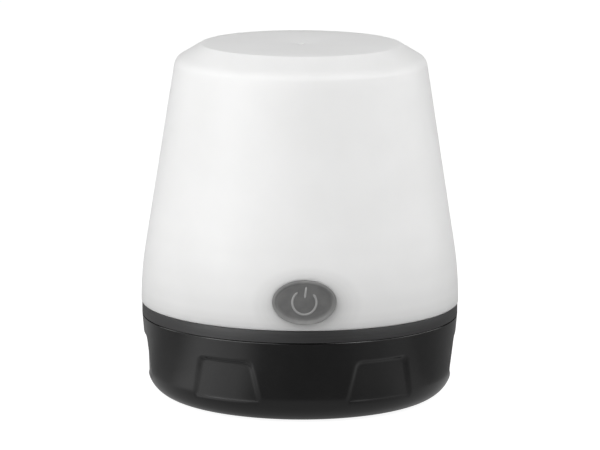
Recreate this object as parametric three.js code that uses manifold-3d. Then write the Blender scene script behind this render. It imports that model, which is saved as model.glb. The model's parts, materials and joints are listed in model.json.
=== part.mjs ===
// Battery camping lantern: a frosted shade on a dark collar, above a twist-off battery cup.
// Millimetres, +Z up. The origin is on the lantern's axis, on the surface it stands on.
// The power button faces -Y.

import * as THREE from "three";
import { mergeVertices } from "three/addons/utils/BufferGeometryUtils.js";
import Module from "manifold-3d";

const wasm = await Module();
wasm.setup();

// ---- Driving dimensions ----

// Outside of the lantern
const BODY_RADIUS = 45;
const BODY_HEIGHT = 100.4;
const CUP_BOTTOM_Z = 0.3; // the rubber pads stand this far below the cup
const SEAM_Z = 23.7; // the cup's rim meets the collar here
const COLLAR_TOP_Z = 27;
const COLLAR_RADIUS = 44.8;
const SEAM_GAP = 0.1;

// Shade
const SHADE_WALL = 2;
const SHADE_SLOPE = 0.159; // radius lost for each millimetre of height on the cone
const SHADE_BLEND = 105; // radius of the long curve from the upright foot to the cone
const SHOULDER_RADIUS = 35.4;
const SHOULDER_Z = 96.1;
const SHOULDER_ROUND = 3.6;
const TOP_DISC_RADIUS = 28.15;
const GATE_RADIUS = 2;
const GATE_DEPTH = 0.3;

// Collar and its deck
const DECK_BOTTOM_Z = 22.3;
const DECK_TOP_Z = 24.3;
const UPSTAND_INNER = 40.6;
const UPSTAND_OUTER = 42.3;
const UPSTAND_TOP_Z = 30.6;
const SPIGOT_INNER = 39.4;
const SPIGOT_OUTER = 41;
const SPIGOT_BOTTOM_Z = 16.6;

const LAMP_BOSS_RADIUS = 3;
const LAMP_BOSS_TOP_Z = 24.8;
const HOLDER_BOSS_RADIUS = 2.8;
const HOLDER_BOSS_TOP_Z = 26.8;
const HOLDER_HOLE_TOP_Z = 26.3; // the screw holes in the holder's bosses stop here
const WINDOW_HALF = 14; // half of the opening for the button in the upstand
const WALL_CUT_Y = -36; // cuts through the front of the shade and upstand end here

const SEAL_RADIUS = 0.45;
const SEAL_Z = 22.6;

// Bayonet between the collar and the cup
const BAYONET_COUNT = 3;
const BAYONET_WIDTH = 24; // degrees of each lug and of each tab
const LUG_REACH = 41.95;
const LUG_Z = [17, 19.2];
const TAB_REACH = 41.3;
const TAB_Z = [19.6, 21.4];
const LOCK_STOP_WIDTH = 2; // degrees

// Battery cup
const CUP_FOOT_RADIUS = 42.7; // where the tapered wall would meet the floor
const CUP_CORNER_ROUND = 8.6;
const CUP_MOUTH_INNER = 42.3;
const CUP_FLOOR = 2;
const CUP_LEDGE_Z = 16; // below it the wall is thick again
const CUP_INNER_WALL = [[40.4, 15.2], [39.4, 4.6]]; // radius and height, from the ledge down
const CUP_INNER_FOOT = 36.4;
const GRIP_COUNT = 6;
const GRIP_DEPTH = 1;
const GRIP_TOP_Z = 18.6;
const GRIP_BOTTOM_Z = 6;
const GRIP_TOP_HALF = 8.4;
const GRIP_BOTTOM_HALF = 10.8;
const GRIP_FIRST_ANGLE = 30;

// Rubber pads under the cup
const PAD_RADIUS = 4;
const PAD_HEIGHT = 1;
const PAD_CIRCLE = 28;
const PAD_COUNT = 4;
const PAD_CLEARANCE = 0.3;

// Folding hanging hook in a pocket under the cup
const HOOK_Z = 2.3; // height of the hinge pin's axis
const HOOK_THICKNESS = 2.6;
const HOOK_HALF_WIDTH = 15;
const HOOK_BAR = 3;
const HOOK_ARC_CENTRE_Y = 5;
const HOOK_PIN_RADIUS = 1.25;
const HOOK_PIN_REACH = 18.4;
const POCKET_MARGIN = 1.8;
const POCKET_TOP_Z = 4.4;
const POCKET_WALL = 1.5;
const POCKET_WALL_BOTTOM_Z = 1; // inside the cup's floor
const BEARING_LENGTH = 1.6; // beyond the pin's end
const BEARING_HALF = 3.1;

// Power button, on the front of the shade
const BUTTON_Z = 34.95;
const BUTTON_HALF_WIDTH = 8.8;
const BUTTON_HALF_HEIGHT = 6.15;
const BUTTON_GAP = 0.25;
const BUTTON_TILT = 0.8; // degrees clockwise, seen from the front
const BUTTON_RIM = 1;
const BUTTON_FACE_DEPTH = 0.4;
const FLANGE_MARGIN = 1.5;
const FLANGE_SHELL = [40.6, 41.5];
const SYMBOL_RADIUS = 3.3;
const SYMBOL_STROKE = 0.6;
const SYMBOL_TILT = 7; // degrees clockwise: the symbol leans more than the oval
const SYMBOL_GAP = 40; // half of the ring's opening, in degrees
const SYMBOL_BAR_Z = [1.2, 4.4];
const BOSS_RADIUS = 2.6;
const BOSS_END_Y = -39;
const BOSS_START_Y = -41.8;
const PLUG_END_Y = -41.5;
const DISH_END_Y = -43;
const SYMBOL_END_Y = -43.8;
const FRONT_SHELL_Z = [20, 50]; // curved plates behind the button are cut from rings this tall

// Switch behind the button
const FRAME_SHELL = [37.9, 39.3];
const FRAME_HALF_WIDTH = 12;
const FRAME_TOP_Z = 43.5;
const FRAME_BOTTOM_Z = 24.6;
const FRAME_FOOT_TOP_Z = 26;
const FRAME_FOOT_START_Y = -37.2;
const FRAME_FOOT_END_Y = -30.5;
const POST_X = 9.5;
const POST_HALF = 1.9;
const POST_START_Y = -38;
const POST_END_Y = -32.3;
const SWITCH_FRONT_Y = -36.2;
const SWITCH_BACK_Y = -32.2;
const SWITCH_HALF = 3.6;
const PLUNGER_RADIUS = 1.6;
const PLUNGER_Y = [-38.7, -34.9];
const PLUNGER_BORE_RADIUS = 1.9;
const PLUNGER_BORE_END_Y = -33.2;
const SWITCH_BOARD_Y = [-32.1, -30.9];
const SWITCH_BOARD_Z = [29.5, 41.5];
const SWITCH_BOARD_HALF = 11.6;
const BOSS_CLEARANCE = 0.8;

// Lamp board
const BOARD_RADIUS = 22;
const BOARD_Z = [24.9, 26.5];
const BOARD_SCREW_CIRCLE = 18;
const LED_COUNT = 6;
const LED_CIRCLE = 12;
const LED_SIZE = [3.5, 2.8, 0.8];
const LED_LENS_RADIUS = 1.2;
const LED_LENS_RISE = 0.3;

// Reflector: the dish's section as radius and height, and its opening at the front
const DISH_SECTION = [[23.2, 26.8], [24.6, 26.8], [40, 29.6], [40, 30.8], [24.4, 28], [23.2, 28]];
const DISH_OPENING_HALF = 13.5;
const DISH_OPENING_END_Y = -15;

// Battery holder and cells
const CELL_RADIUS = 7.2;
const CELL_CAN = 49.3;
const NUB_RADIUS = 2.7;
const NUB_HEIGHT = 1.2;
const CELL_PITCH = 15.8;
const CELL_Z = 13.6;
const BAY_RADIUS = 7.5;
const BAY_HALF_LENGTH = 27;
const HOLDER_HALF_WIDTH = 24.3;
const HOLDER_HALF_LENGTH = 28.5;
const HOLDER_Z = [9.6, 22.2];
const EAR_X = 18;
const EAR_Y = 31;
const EAR_RADIUS = 3.2;
const EAR_BOTTOM_Z = 20.2;

// Contacts, measured along the bay from its middle
const CELL_SHIFT = 0.45; // the spring holds the cell's can this far toward the plate
const SPRING_START = -26.55;
const SPRING_HEIGHT = 1.9;
const SPRING_RADII = [3.6, 2.2];
const SPRING_TURNS = 2.5;
const SPRING_WIRE = 0.3;
const PLATE_PLACE = 26.7;
const PLATE_SIZE = [10, 0.4, 9];

// Screws and their holes
const SCREW_SHANK = 1;
const SCREW_HOLE = 1.25;
const SCREW_HEAD = 2.3;
const SCREW_HEAD_HEIGHT = 1.4;
const SCREW_SEAT = 0.1; // play under each screw's head
const SHORT_SCREW = 3.4;
const LONG_SCREW = 5.6;
const BOARD_SCREW = 4;

const WIRE_RADIUS = 0.6;
const WIRE_HOLE = 2;
const WIRE_HOLE_PLACES = [[-13, 31.5], [13, 31.5]];
const TURN_STEPS = 48; // facets round the large turned pieces
const DEG = Math.PI / 180;

// ---- Shape helpers ----

// Turns a closed three.js geometry into a solid that can be joined and cut.
function toSolid(geometry) {
  const bare = geometry.clone();
  bare.deleteAttribute("normal");
  bare.deleteAttribute("uv");
  const merged = mergeVertices(bare);
  return new wasm.Manifold(new wasm.Mesh({
    numProp: 3,
    vertProperties: merged.attributes.position.array,
    triVerts: new Uint32Array(merged.index.array),
  }));
}

function toGeometry(solid) {
  const mesh = solid.getMesh();
  const geometry = new THREE.BufferGeometry();
  geometry.setAttribute("position", new THREE.BufferAttribute(mesh.vertProperties, 3));
  geometry.setIndex(new THREE.BufferAttribute(mesh.triVerts, 1));
  geometry.computeVertexNormals();
  return geometry;
}

function join(first, ...others) {
  return toGeometry(others.reduce((sum, other) => sum.add(toSolid(other)), toSolid(first)));
}

function cut(first, ...tools) {
  return toGeometry(tools.reduce((rest, tool) => rest.subtract(toSolid(tool)), toSolid(first)));
}

function common(first, second) {
  return toGeometry(toSolid(first).intersect(toSolid(second)));
}

// A turned solid about Z from [radius, z] points, given anticlockwise.
function turned(points, steps = TURN_STEPS) {
  const profile = points.map(([radius, z]) => new THREE.Vector2(radius, z));
  return new THREE.LatheGeometry(profile, steps).rotateX(Math.PI / 2);
}

function turnedRing(points, steps = TURN_STEPS) {
  return turned([...points, points[0]], steps);
}

function pipe(inner, outer, z0, z1) {
  return turnedRing([[inner, z0], [outer, z0], [outer, z1], [inner, z1]]);
}

function block([x0, x1], [y0, y1], [z0, z1]) {
  const geometry = new THREE.BoxGeometry(x1 - x0, y1 - y0, z1 - z0);
  return geometry.translate((x0 + x1) / 2, (y0 + y1) / 2, (z0 + z1) / 2);
}

// An upright round bar.
function post(radius, [z0, z1], x = 0, y = 0, sides = 16) {
  const geometry = new THREE.CylinderGeometry(radius, radius, z1 - z0, sides);
  return geometry.rotateX(Math.PI / 2).translate(x, y, (z0 + z1) / 2);
}

// A round bar lying along Y.
function barAlongY(radius, [y0, y1], x, z, sides = 16) {
  const geometry = new THREE.CylinderGeometry(radius, radius, y1 - y0, sides);
  return geometry.translate(x, (y0 + y1) / 2, z);
}

// A flat shape in X and Y, raised from z0 to z1.
function raised(shape, [z0, z1], curveSegments = 12) {
  const options = { depth: z1 - z0, bevelEnabled: false, curveSegments };
  return new THREE.ExtrudeGeometry(shape, options).translate(0, 0, z0);
}

// A flat shape in X and Z about the button's centre, run along Y and tilted as the button is.
function buttonPrism(shape, [y0, y1], curveSegments = 12, tilt = BUTTON_TILT) {
  const options = { depth: y1 - y0, bevelEnabled: false, curveSegments };
  const geometry = new THREE.ExtrudeGeometry(shape, options).rotateX(Math.PI / 2);
  return geometry.rotateY(tilt * DEG).translate(0, y1, BUTTON_Z);
}

// Part of a flat ring, centred on an angle given in degrees.
function ringSector(inner, outer, zRange, centre, width, steps = 4) {
  const start = (centre - width / 2) * DEG;
  const end = (centre + width / 2) * DEG;
  const shape = new THREE.Shape();
  shape.absarc(0, 0, outer, start, end, false);
  shape.absarc(0, 0, inner, end, start, true);
  return raised(shape, zRange, steps);
}

// Replaces a sharp corner of an outline with an arc.
function roundCorner(before, corner, after, radius, steps) {
  const tip = new THREE.Vector2(...corner);
  const back = new THREE.Vector2(...before).sub(tip).normalize();
  const ahead = new THREE.Vector2(...after).sub(tip).normalize();
  const half = Math.acos(back.dot(ahead)) / 2;
  const middle = back.clone().add(ahead).normalize();
  const centre = tip.clone().addScaledVector(middle, radius / Math.sin(half));
  const spoke = tip.clone().addScaledVector(back, radius / Math.tan(half)).sub(centre);
  const turn = (Math.PI - 2 * half) * Math.sign(-back.cross(ahead));
  const origin = new THREE.Vector2();
  return Array.from({ length: steps + 1 }, (_, step) => {
    const point = spoke.clone().rotateAround(origin, (turn * step) / steps).add(centre);
    return [point.x, point.y];
  });
}

// Moves an open outline to its left by a distance and keeps its corners sharp.
function inset(outline, distance) {
  const normals = outline.slice(1).map(([x, z], index) => {
    const [fromX, fromZ] = outline[index];
    const length = Math.hypot(x - fromX, z - fromZ);
    return [(fromZ - z) / length, (x - fromX) / length];
  });
  return outline.map(([x, z], index) => {
    const a = normals[Math.max(index - 1, 0)];
    const b = normals[Math.min(index, normals.length - 1)];
    const scale = distance / (1 + a[0] * b[0] + a[1] * b[1]);
    return [x + (a[0] + b[0]) * scale, z + (a[1] + b[1]) * scale];
  });
}

function angles(count, first = 0) {
  return Array.from({ length: count }, (_, index) => first + (360 / count) * index);
}

function onCircle(radius, degrees) {
  return [radius * Math.cos(degrees * DEG), radius * Math.sin(degrees * DEG)];
}

function material(color, roughness, metalness = 0) {
  return new THREE.MeshStandardMaterial({ color, roughness, metalness });
}

function part(name, geometry, finish) {
  const mesh = new THREE.Mesh(geometry, finish);
  mesh.name = name;
  return mesh;
}

// ---- Finishes ----

const frostedPlastic = material(0xf2f2f1, 0.45);
const satinBlackPlastic = material(0x3c3c3d, 0.45);
const glossBlackPlastic = material(0x1b1b1c, 0.2);
const greyRubber = material(0x6b6b6a, 0.75);
const blackRubber = material(0x202021, 0.85);
const innerBlackPlastic = material(0x2a2a2b, 0.5);
const whitePlastic = material(0xe8e8e6, 0.5);
const boardFinish = material(0x1f6b3a, 0.4);
const lampBoardFinish = material(0xeeeeea, 0.4);
const steel = material(0xb9bbbd, 0.35, 1);
const cellFinish = material(0x8d9094, 0.35, 0.6);
const ledFinish = material(0xf3e27a, 0.3);
const redWire = material(0xb02a22, 0.5);
const blackWire = material(0x18181a, 0.5);
const whiteWire = material(0xe6e6e2, 0.5);

// ---- Shade ----

// The shade's outline from its foot to the axis, at a depth below its outer surface.
function shadeOutline(depth) {
  const blendZ = SHOULDER_Z - (BODY_RADIUS - SHOULDER_RADIUS) / SHADE_SLOPE;
  const [foot, blend, shoulder, topEdge, top] = inset([
    [BODY_RADIUS, COLLAR_TOP_Z + SEAM_GAP],
    [BODY_RADIUS, blendZ],
    [SHOULDER_RADIUS, SHOULDER_Z],
    [TOP_DISC_RADIUS, BODY_HEIGHT],
    [0, BODY_HEIGHT],
  ], depth);
  return [
    foot,
    ...roundCorner(foot, blend, shoulder, SHADE_BLEND - depth, 4),
    ...roundCorner(blend, shoulder, topEdge, SHOULDER_ROUND - depth * 0.8, 4),
    topEdge,
    top,
  ];
}

function shadeSolid(depth) {
  return turned([[0, COLLAR_TOP_Z], [BODY_RADIUS - depth, COLLAR_TOP_Z], ...shadeOutline(depth)]);
}

function makeDiffuser() {
  const outside = shadeOutline(0).slice(0, -1);
  const gate = [
    [GATE_RADIUS + GATE_DEPTH, BODY_HEIGHT],
    [GATE_RADIUS, BODY_HEIGHT - GATE_DEPTH],
    [0, BODY_HEIGHT - GATE_DEPTH],
  ];
  const shell = turnedRing([...outside, ...gate, ...shadeOutline(SHADE_WALL).reverse()]);
  return cut(shell, buttonPrism(oval(BUTTON_GAP), [-BODY_RADIUS - 2, WALL_CUT_Y], 10));
}

// ---- Collar ----

function makeCollar() {
  const body = turned([
    [0, DECK_BOTTOM_Z],
    [SPIGOT_INNER, DECK_BOTTOM_Z],
    [SPIGOT_INNER, SPIGOT_BOTTOM_Z],
    [SPIGOT_OUTER, SPIGOT_BOTTOM_Z],
    [SPIGOT_OUTER, SEAM_Z],
    [COLLAR_RADIUS, SEAM_Z],
    [COLLAR_RADIUS, COLLAR_TOP_Z],
    [UPSTAND_OUTER, COLLAR_TOP_Z],
    [UPSTAND_OUTER, UPSTAND_TOP_Z],
    [UPSTAND_INNER, UPSTAND_TOP_Z],
    [UPSTAND_INNER, DECK_TOP_Z],
    [0, DECK_TOP_Z],
  ]);
  const additions = [...bayonetLugs(), ...deckBosses()];
  return cut(join(body, ...additions), switchWindow(), ...deckHoles());
}

// Lugs that carry the cup's tabs, each with a stop that the tab turns against when it locks.
function bayonetLugs() {
  const root = SPIGOT_OUTER - 0.5;
  const stopAngle = -(BAYONET_WIDTH / 2 + LOCK_STOP_WIDTH);
  return angles(BAYONET_COUNT, 90).flatMap((angle) => [
    ringSector(root, LUG_REACH, LUG_Z, angle, BAYONET_WIDTH),
    ringSector(root, LUG_REACH, [LUG_Z[0], TAB_Z[1]], angle + stopAngle, LOCK_STOP_WIDTH),
  ]);
}

function deckBosses() {
  const lampHeight = [DECK_BOTTOM_Z, LAMP_BOSS_TOP_Z];
  const holderHeight = [DECK_BOTTOM_Z, HOLDER_BOSS_TOP_Z];
  const lampBosses = boardScrewPlaces().map(([x, y]) => post(LAMP_BOSS_RADIUS, lampHeight, x, y));
  const holderBosses = earPlaces().map(([x, y]) => post(HOLDER_BOSS_RADIUS, holderHeight, x, y));
  return [...lampBosses, ...holderBosses];
}

// The upstand is open at the front, where the button's flange sits.
function switchWindow() {
  return block([-WINDOW_HALF, WINDOW_HALF], [-BODY_RADIUS, WALL_CUT_Y], [COLLAR_TOP_Z, UPSTAND_TOP_Z + 1]);
}

function deckHoles() {
  const through = [DECK_BOTTOM_Z - 1, DECK_TOP_Z + 1];
  const lampHoles = boardScrewPlaces().map(([x, y]) => post(SCREW_HOLE, through, x, y));
  const blind = [DECK_BOTTOM_Z - 1, HOLDER_HOLE_TOP_Z];
  const holderHoles = earPlaces().map(([x, y]) => post(SCREW_HOLE, blind, x, y));
  const frameHoles = frameScrewPlaces().map(([x, y]) => post(SCREW_HOLE, through, x, y));
  const wireHoles = WIRE_HOLE_PLACES.map(([x, y]) => post(WIRE_HOLE, through, x, y));
  return [...lampHoles, ...holderHoles, ...frameHoles, ...wireHoles];
}

function boardScrewPlaces() {
  return angles(3, 90).map((angle) => onCircle(BOARD_SCREW_CIRCLE, angle));
}

function earPlaces() {
  return [[-EAR_X, -EAR_Y], [EAR_X, -EAR_Y], [EAR_X, EAR_Y], [-EAR_X, EAR_Y]];
}

function frameScrewPlaces() {
  return [[-8, -34], [8, -34]];
}

function makeBaseSeal() {
  const radius = (SPIGOT_OUTER + CUP_MOUTH_INNER) / 2;
  const section = angles(6).map((angle) => {
    const [x, z] = onCircle(SEAL_RADIUS, angle);
    return [radius + x, SEAL_Z + z];
  });
  return turnedRing(section);
}

// ---- Battery cup ----

function cupOutline(depth) {
  const rimZ = SEAM_Z - SEAM_GAP;
  const [centre, corner, rim] = inset([
    [0, CUP_BOTTOM_Z],
    [CUP_FOOT_RADIUS, CUP_BOTTOM_Z],
    [COLLAR_RADIUS, rimZ],
  ], depth);
  return [centre, ...roundCorner(centre, corner, rim, CUP_CORNER_ROUND - depth, 6), rim];
}

function makeBaseCup() {
  const floorTop = CUP_BOTTOM_Z + CUP_FLOOR;
  const shell = turned([
    ...cupOutline(0),
    [CUP_MOUTH_INNER, SEAM_Z - SEAM_GAP],
    [CUP_MOUTH_INNER, CUP_LEDGE_Z],
    ...CUP_INNER_WALL,
    [CUP_INNER_FOOT, floorTop],
    [0, floorTop],
  ]);
  const root = CUP_MOUTH_INNER + 0.4;
  const tabs = angles(BAYONET_COUNT, 90).map((angle) =>
    ringSector(TAB_REACH, root, TAB_Z, angle, BAYONET_WIDTH));
  const pocketRoof = raised(hookPocket(POCKET_MARGIN + POCKET_WALL), pocketWallHeight());
  const filled = join(shell, ...tabs, pocketRoof, ...hookBearings());
  return cut(filled, ...gripCuts(), ...padPockets(), ...hookSpace());
}

// Six finger grips: wide at the foot, narrow under the rim, and equally deep all over.
function gripCuts() {
  const shape = new THREE.Shape([
    new THREE.Vector2(-GRIP_BOTTOM_HALF, GRIP_BOTTOM_Z),
    new THREE.Vector2(GRIP_BOTTOM_HALF, GRIP_BOTTOM_Z),
    new THREE.Vector2(GRIP_TOP_HALF, GRIP_TOP_Z),
    new THREE.Vector2(-GRIP_TOP_HALF, GRIP_TOP_Z),
  ]);
  const wedgeInner = CUP_FOOT_RADIUS - GRIP_BOTTOM_HALF;
  const wedge = raised(shape, [wedgeInner, 2 * BODY_RADIUS - wedgeInner]).rotateX(Math.PI / 2);
  const outerSkin = cut(wedge, turned([...cupOutline(GRIP_DEPTH), [0, SEAM_Z]]));
  return angles(GRIP_COUNT, GRIP_FIRST_ANGLE).map((angle) => outerSkin.clone().rotateZ(angle * DEG));
}

function padPockets() {
  const depth = [-1, PAD_HEIGHT + PAD_CLEARANCE];
  return padPlaces().map(([x, y]) => post(PAD_RADIUS + PAD_CLEARANCE, depth, x, y, 24));
}

function padPlaces() {
  return angles(PAD_COUNT, 45).map((angle) => onCircle(PAD_CIRCLE, angle));
}

function makeFootPad() {
  return post(PAD_RADIUS, [0, PAD_HEIGHT], 0, 0, 24);
}

// The hook's outline grown by a margin: straight sides and a round far end.
function hookPocket(margin) {
  const half = HOOK_HALF_WIDTH + margin;
  const shape = new THREE.Shape();
  shape.moveTo(-half, -HOOK_THICKNESS / 2 - margin);
  shape.lineTo(half, -HOOK_THICKNESS / 2 - margin);
  shape.absarc(0, HOOK_ARC_CENTRE_Y, half, 0, Math.PI, false);
  shape.closePath();
  return shape;
}

function pocketWallHeight() {
  return [POCKET_WALL_BOTTOM_Z, POCKET_TOP_Z + POCKET_WALL];
}

// Solid ground at both sides of the pocket for the hinge pin's ends.
function hookBearings() {
  const inner = HOOK_HALF_WIDTH + POCKET_MARGIN;
  return [1, -1].map((side) => {
    const ends = [side * inner, side * (HOOK_PIN_REACH + BEARING_LENGTH)].sort((a, b) => a - b);
    return block(ends, [-BEARING_HALF, BEARING_HALF], pocketWallHeight());
  });
}

function hookSpace() {
  const pinClearance = 0.35;
  const pocket = raised(hookPocket(POCKET_MARGIN), [-1, POCKET_TOP_Z]);
  const length = 2 * (HOOK_PIN_REACH + pinClearance);
  return [pocket, hookPin(HOOK_PIN_RADIUS + pinClearance, length)];
}

function hookPin(radius, length) {
  return new THREE.CylinderGeometry(radius, radius, length, 16).rotateZ(Math.PI / 2).translate(0, 0, HOOK_Z);
}

// A flat ring with straight sides, rounded where it turns, and two stub pins.
function makeHangingHook() {
  const half = HOOK_THICKNESS / 2;
  const zRange = [HOOK_Z - half, HOOK_Z + half];
  const legs = [1, -1].map((side) => {
    const x = side * (HOOK_HALF_WIDTH - HOOK_BAR / 2);
    const edges = [x - HOOK_BAR / 2, x + HOOK_BAR / 2];
    return block(edges, [0, HOOK_ARC_CENTRE_Y], zRange);
  });
  const arch = ringSector(HOOK_HALF_WIDTH - HOOK_BAR, HOOK_HALF_WIDTH, zRange, 90, 180, 14);
  arch.translate(0, HOOK_ARC_CENTRE_Y, 0);
  const eyes = [1, -1].map((side) => {
    const eye = hookPin(half, HOOK_BAR);
    return eye.translate(side * (HOOK_HALF_WIDTH - HOOK_BAR / 2), 0, 0);
  });
  const gapBetweenLegs = 2 * (HOOK_HALF_WIDTH - HOOK_BAR);
  const pin = hookPin(HOOK_PIN_RADIUS, 2 * HOOK_PIN_REACH);
  const stubs = cut(pin, hookPin(HOOK_PIN_RADIUS + 1, gapBetweenLegs));
  return join(arch, ...legs, ...eyes, stubs);
}

// ---- Power button ----

// The button's outline grown by a margin.
function oval(margin) {
  const shape = new THREE.Shape();
  shape.absellipse(0, 0, BUTTON_HALF_WIDTH + margin, BUTTON_HALF_HEIGHT + margin, 0, 2 * Math.PI);
  return shape;
}

function makePowerButton() {
  const front = -BODY_RADIUS - 1;
  const plug = common(buttonPrism(oval(0), [front, PLUG_END_Y], 10), shadeSolid(0));
  const dish = cut(buttonPrism(oval(-BUTTON_RIM), [front, DISH_END_Y], 10), shadeSolid(BUTTON_FACE_DEPTH));
  const flangeShell = pipe(...FLANGE_SHELL, ...FRONT_SHELL_Z);
  const flange = common(buttonPrism(oval(FLANGE_MARGIN), [front, WALL_CUT_Y], 10), flangeShell);
  const boss = barAlongY(BOSS_RADIUS, [BOSS_START_Y, BOSS_END_Y], 0, BUTTON_Z);
  return join(cut(plug, dish), ...powerSymbol(), flange, boss);
}

// A ring that is open at the top, with a bar across the opening.
function powerSymbol() {
  const outer = SYMBOL_RADIUS + SYMBOL_STROKE / 2;
  const inner = SYMBOL_RADIUS - SYMBOL_STROKE / 2;
  const start = (90 + SYMBOL_GAP) * DEG;
  const end = (450 - SYMBOL_GAP) * DEG;
  const ring = new THREE.Shape();
  ring.absarc(0, 0, outer, start, end, false);
  ring.absarc(0, 0, inner, end, start, true);
  const bar = new THREE.Shape();
  bar.moveTo(-SYMBOL_STROKE / 2, SYMBOL_BAR_Z[0]);
  bar.lineTo(SYMBOL_STROKE / 2, SYMBOL_BAR_Z[0]);
  bar.lineTo(SYMBOL_STROKE / 2, SYMBOL_BAR_Z[1]);
  bar.lineTo(-SYMBOL_STROKE / 2, SYMBOL_BAR_Z[1]);
  const depth = [-BODY_RADIUS - 1, SYMBOL_END_Y];
  return [ring, bar].map((shape) =>
    common(buttonPrism(shape, depth, 16, SYMBOL_TILT), shadeSolid(0.1)));
}

// ---- Switch ----

// A bracket screwed to the deck: a curved plate behind the button and posts for the switch board.
function makeButtonFrame() {
  const across = [-FRAME_HALF_WIDTH, FRAME_HALF_WIDTH];
  const slab = block(across, [-BODY_RADIUS, FRAME_FOOT_END_Y], [FRAME_BOTTOM_Z, FRAME_TOP_Z]);
  const plate = common(slab, pipe(...FRAME_SHELL, ...FRONT_SHELL_Z));
  const foot = block(across, [FRAME_FOOT_START_Y, FRAME_FOOT_END_Y], [FRAME_BOTTOM_Z, FRAME_FOOT_TOP_Z]);
  const posts = [-POST_X, POST_X].map((x) => {
    const width = [x - POST_HALF, x + POST_HALF];
    return block(width, [POST_START_Y, POST_END_Y], [BUTTON_Z - POST_HALF, BUTTON_Z + POST_HALF]);
  });
  const bossHole = barAlongY(BOSS_RADIUS + BOSS_CLEARANCE, [PLUG_END_Y, POST_START_Y + 1], 0, BUTTON_Z);
  const postHoles = [-POST_X, POST_X].map((x) =>
    barAlongY(SCREW_HOLE, [POST_START_Y + 1, POST_END_Y + 1], x, BUTTON_Z, 12));
  const footHoles = frameScrewPlaces().map(([x, y]) => post(SCREW_HOLE, [20, 30], x, y));
  return cut(join(plate, foot, ...posts), bossHole, ...postHoles, ...footHoles);
}

function makeSwitchBoard() {
  const across = [-SWITCH_BOARD_HALF, SWITCH_BOARD_HALF];
  const board = block(across, SWITCH_BOARD_Y, SWITCH_BOARD_Z);
  const holes = [-POST_X, POST_X].map((x) =>
    barAlongY(SCREW_HOLE, [SWITCH_BOARD_Y[0] - 1, SWITCH_BOARD_Y[1] + 1], x, BUTTON_Z, 12));
  return cut(board, ...holes);
}

function makeSwitchBody() {
  const across = [-SWITCH_HALF, SWITCH_HALF];
  const height = [BUTTON_Z - SWITCH_HALF, BUTTON_Z + SWITCH_HALF];
  const body = block(across, [SWITCH_FRONT_Y, SWITCH_BACK_Y], height);
  return cut(body, barAlongY(PLUNGER_BORE_RADIUS, [SWITCH_FRONT_Y - 1, PLUNGER_BORE_END_Y], 0, BUTTON_Z));
}

function makeSwitchPlunger() {
  return barAlongY(PLUNGER_RADIUS, PLUNGER_Y, 0, BUTTON_Z);
}

// ---- Lamp board and reflector ----

function makeLampBoard() {
  const holes = boardScrewPlaces().map(([x, y]) => post(SCREW_HOLE, [BOARD_Z[0] - 1, BOARD_Z[1] + 1], x, y));
  return cut(post(BOARD_RADIUS, BOARD_Z, 0, 0, 48), ...holes);
}

function makeLed() {
  const [width, length, height] = LED_SIZE;
  const base = block([-width / 2, width / 2], [-length / 2, length / 2], [0, height]);
  return join(base, post(LED_LENS_RADIUS, [height / 2, height + LED_LENS_RISE]));
}

// A white dish round the lamp board, open at the front for the switch and its wires.
function makeReflector() {
  const across = [-DISH_OPENING_HALF, DISH_OPENING_HALF];
  const opening = block(across, [-BODY_RADIUS, DISH_OPENING_END_Y], [DECK_BOTTOM_Z, BUTTON_Z]);
  return cut(turnedRing(DISH_SECTION), opening);
}

// ---- Battery holder, cells and contacts ----

function bayCentres() {
  return [-CELL_PITCH, 0, CELL_PITCH];
}

// Cells clip in from below, so each bay is open at the bottom and round at the top.
function makeBatteryHolder() {
  const along = [-BAY_HALF_LENGTH, BAY_HALF_LENGTH];
  const width = [-HOLDER_HALF_WIDTH, HOLDER_HALF_WIDTH];
  const body = block(width, [-HOLDER_HALF_LENGTH, HOLDER_HALF_LENGTH], HOLDER_Z);
  const ears = earPlaces().flatMap(([x, y]) => {
    const inner = Math.sign(y) * (HOLDER_HALF_LENGTH - 1);
    const reach = [y, inner].sort((a, b) => a - b);
    const thickness = [EAR_BOTTOM_Z, HOLDER_Z[1]];
    return [post(EAR_RADIUS, thickness, x, y), block([x - EAR_RADIUS, x + EAR_RADIUS], reach, thickness)];
  });
  const bays = bayCentres().flatMap((x) => [
    barAlongY(BAY_RADIUS, along, x, CELL_Z, 24),
    block([x - BAY_RADIUS, x + BAY_RADIUS], along, [0, CELL_Z]),
  ]);
  const through = [HOLDER_Z[0], HOLDER_Z[1] + 1];
  const earHoles = earPlaces().map(([x, y]) => post(SCREW_HOLE, through, x, y));
  return cut(join(body, ...ears), ...bays, ...earHoles);
}

// A cell along Y, its positive end toward +Y and its can centred between the bay's ends.
function makeCell() {
  const canEnd = CELL_CAN / 2;
  const edge = 0.5;
  const profile = [
    [0, -canEnd],
    [CELL_RADIUS - edge, -canEnd],
    [CELL_RADIUS, -canEnd + edge],
    [CELL_RADIUS, canEnd - edge],
    [CELL_RADIUS - edge, canEnd],
    [NUB_RADIUS, canEnd],
    [NUB_RADIUS, canEnd + NUB_HEIGHT],
    [0, canEnd + NUB_HEIGHT],
  ];
  return turned(profile, 24).rotateX(-Math.PI / 2);
}

class TaperedHelix extends THREE.Curve {
  constructor(startRadius, endRadius, height, turns) {
    super();
    Object.assign(this, { startRadius, endRadius, height, turns });
  }

  getPoint(t, target = new THREE.Vector3()) {
    const angle = 2 * Math.PI * this.turns * t;
    const radius = THREE.MathUtils.lerp(this.startRadius, this.endRadius, t);
    return target.set(radius * Math.cos(angle), this.height * t, radius * Math.sin(angle));
  }
}

function wireAlong(curve, radius, steps, sides) {
  const corners = angles(sides).map((angle) => new THREE.Vector2(...onCircle(radius, angle)));
  const section = new THREE.Shape(corners);
  return new THREE.ExtrudeGeometry(section, { steps, extrudePath: curve, bevelEnabled: false });
}

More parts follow.
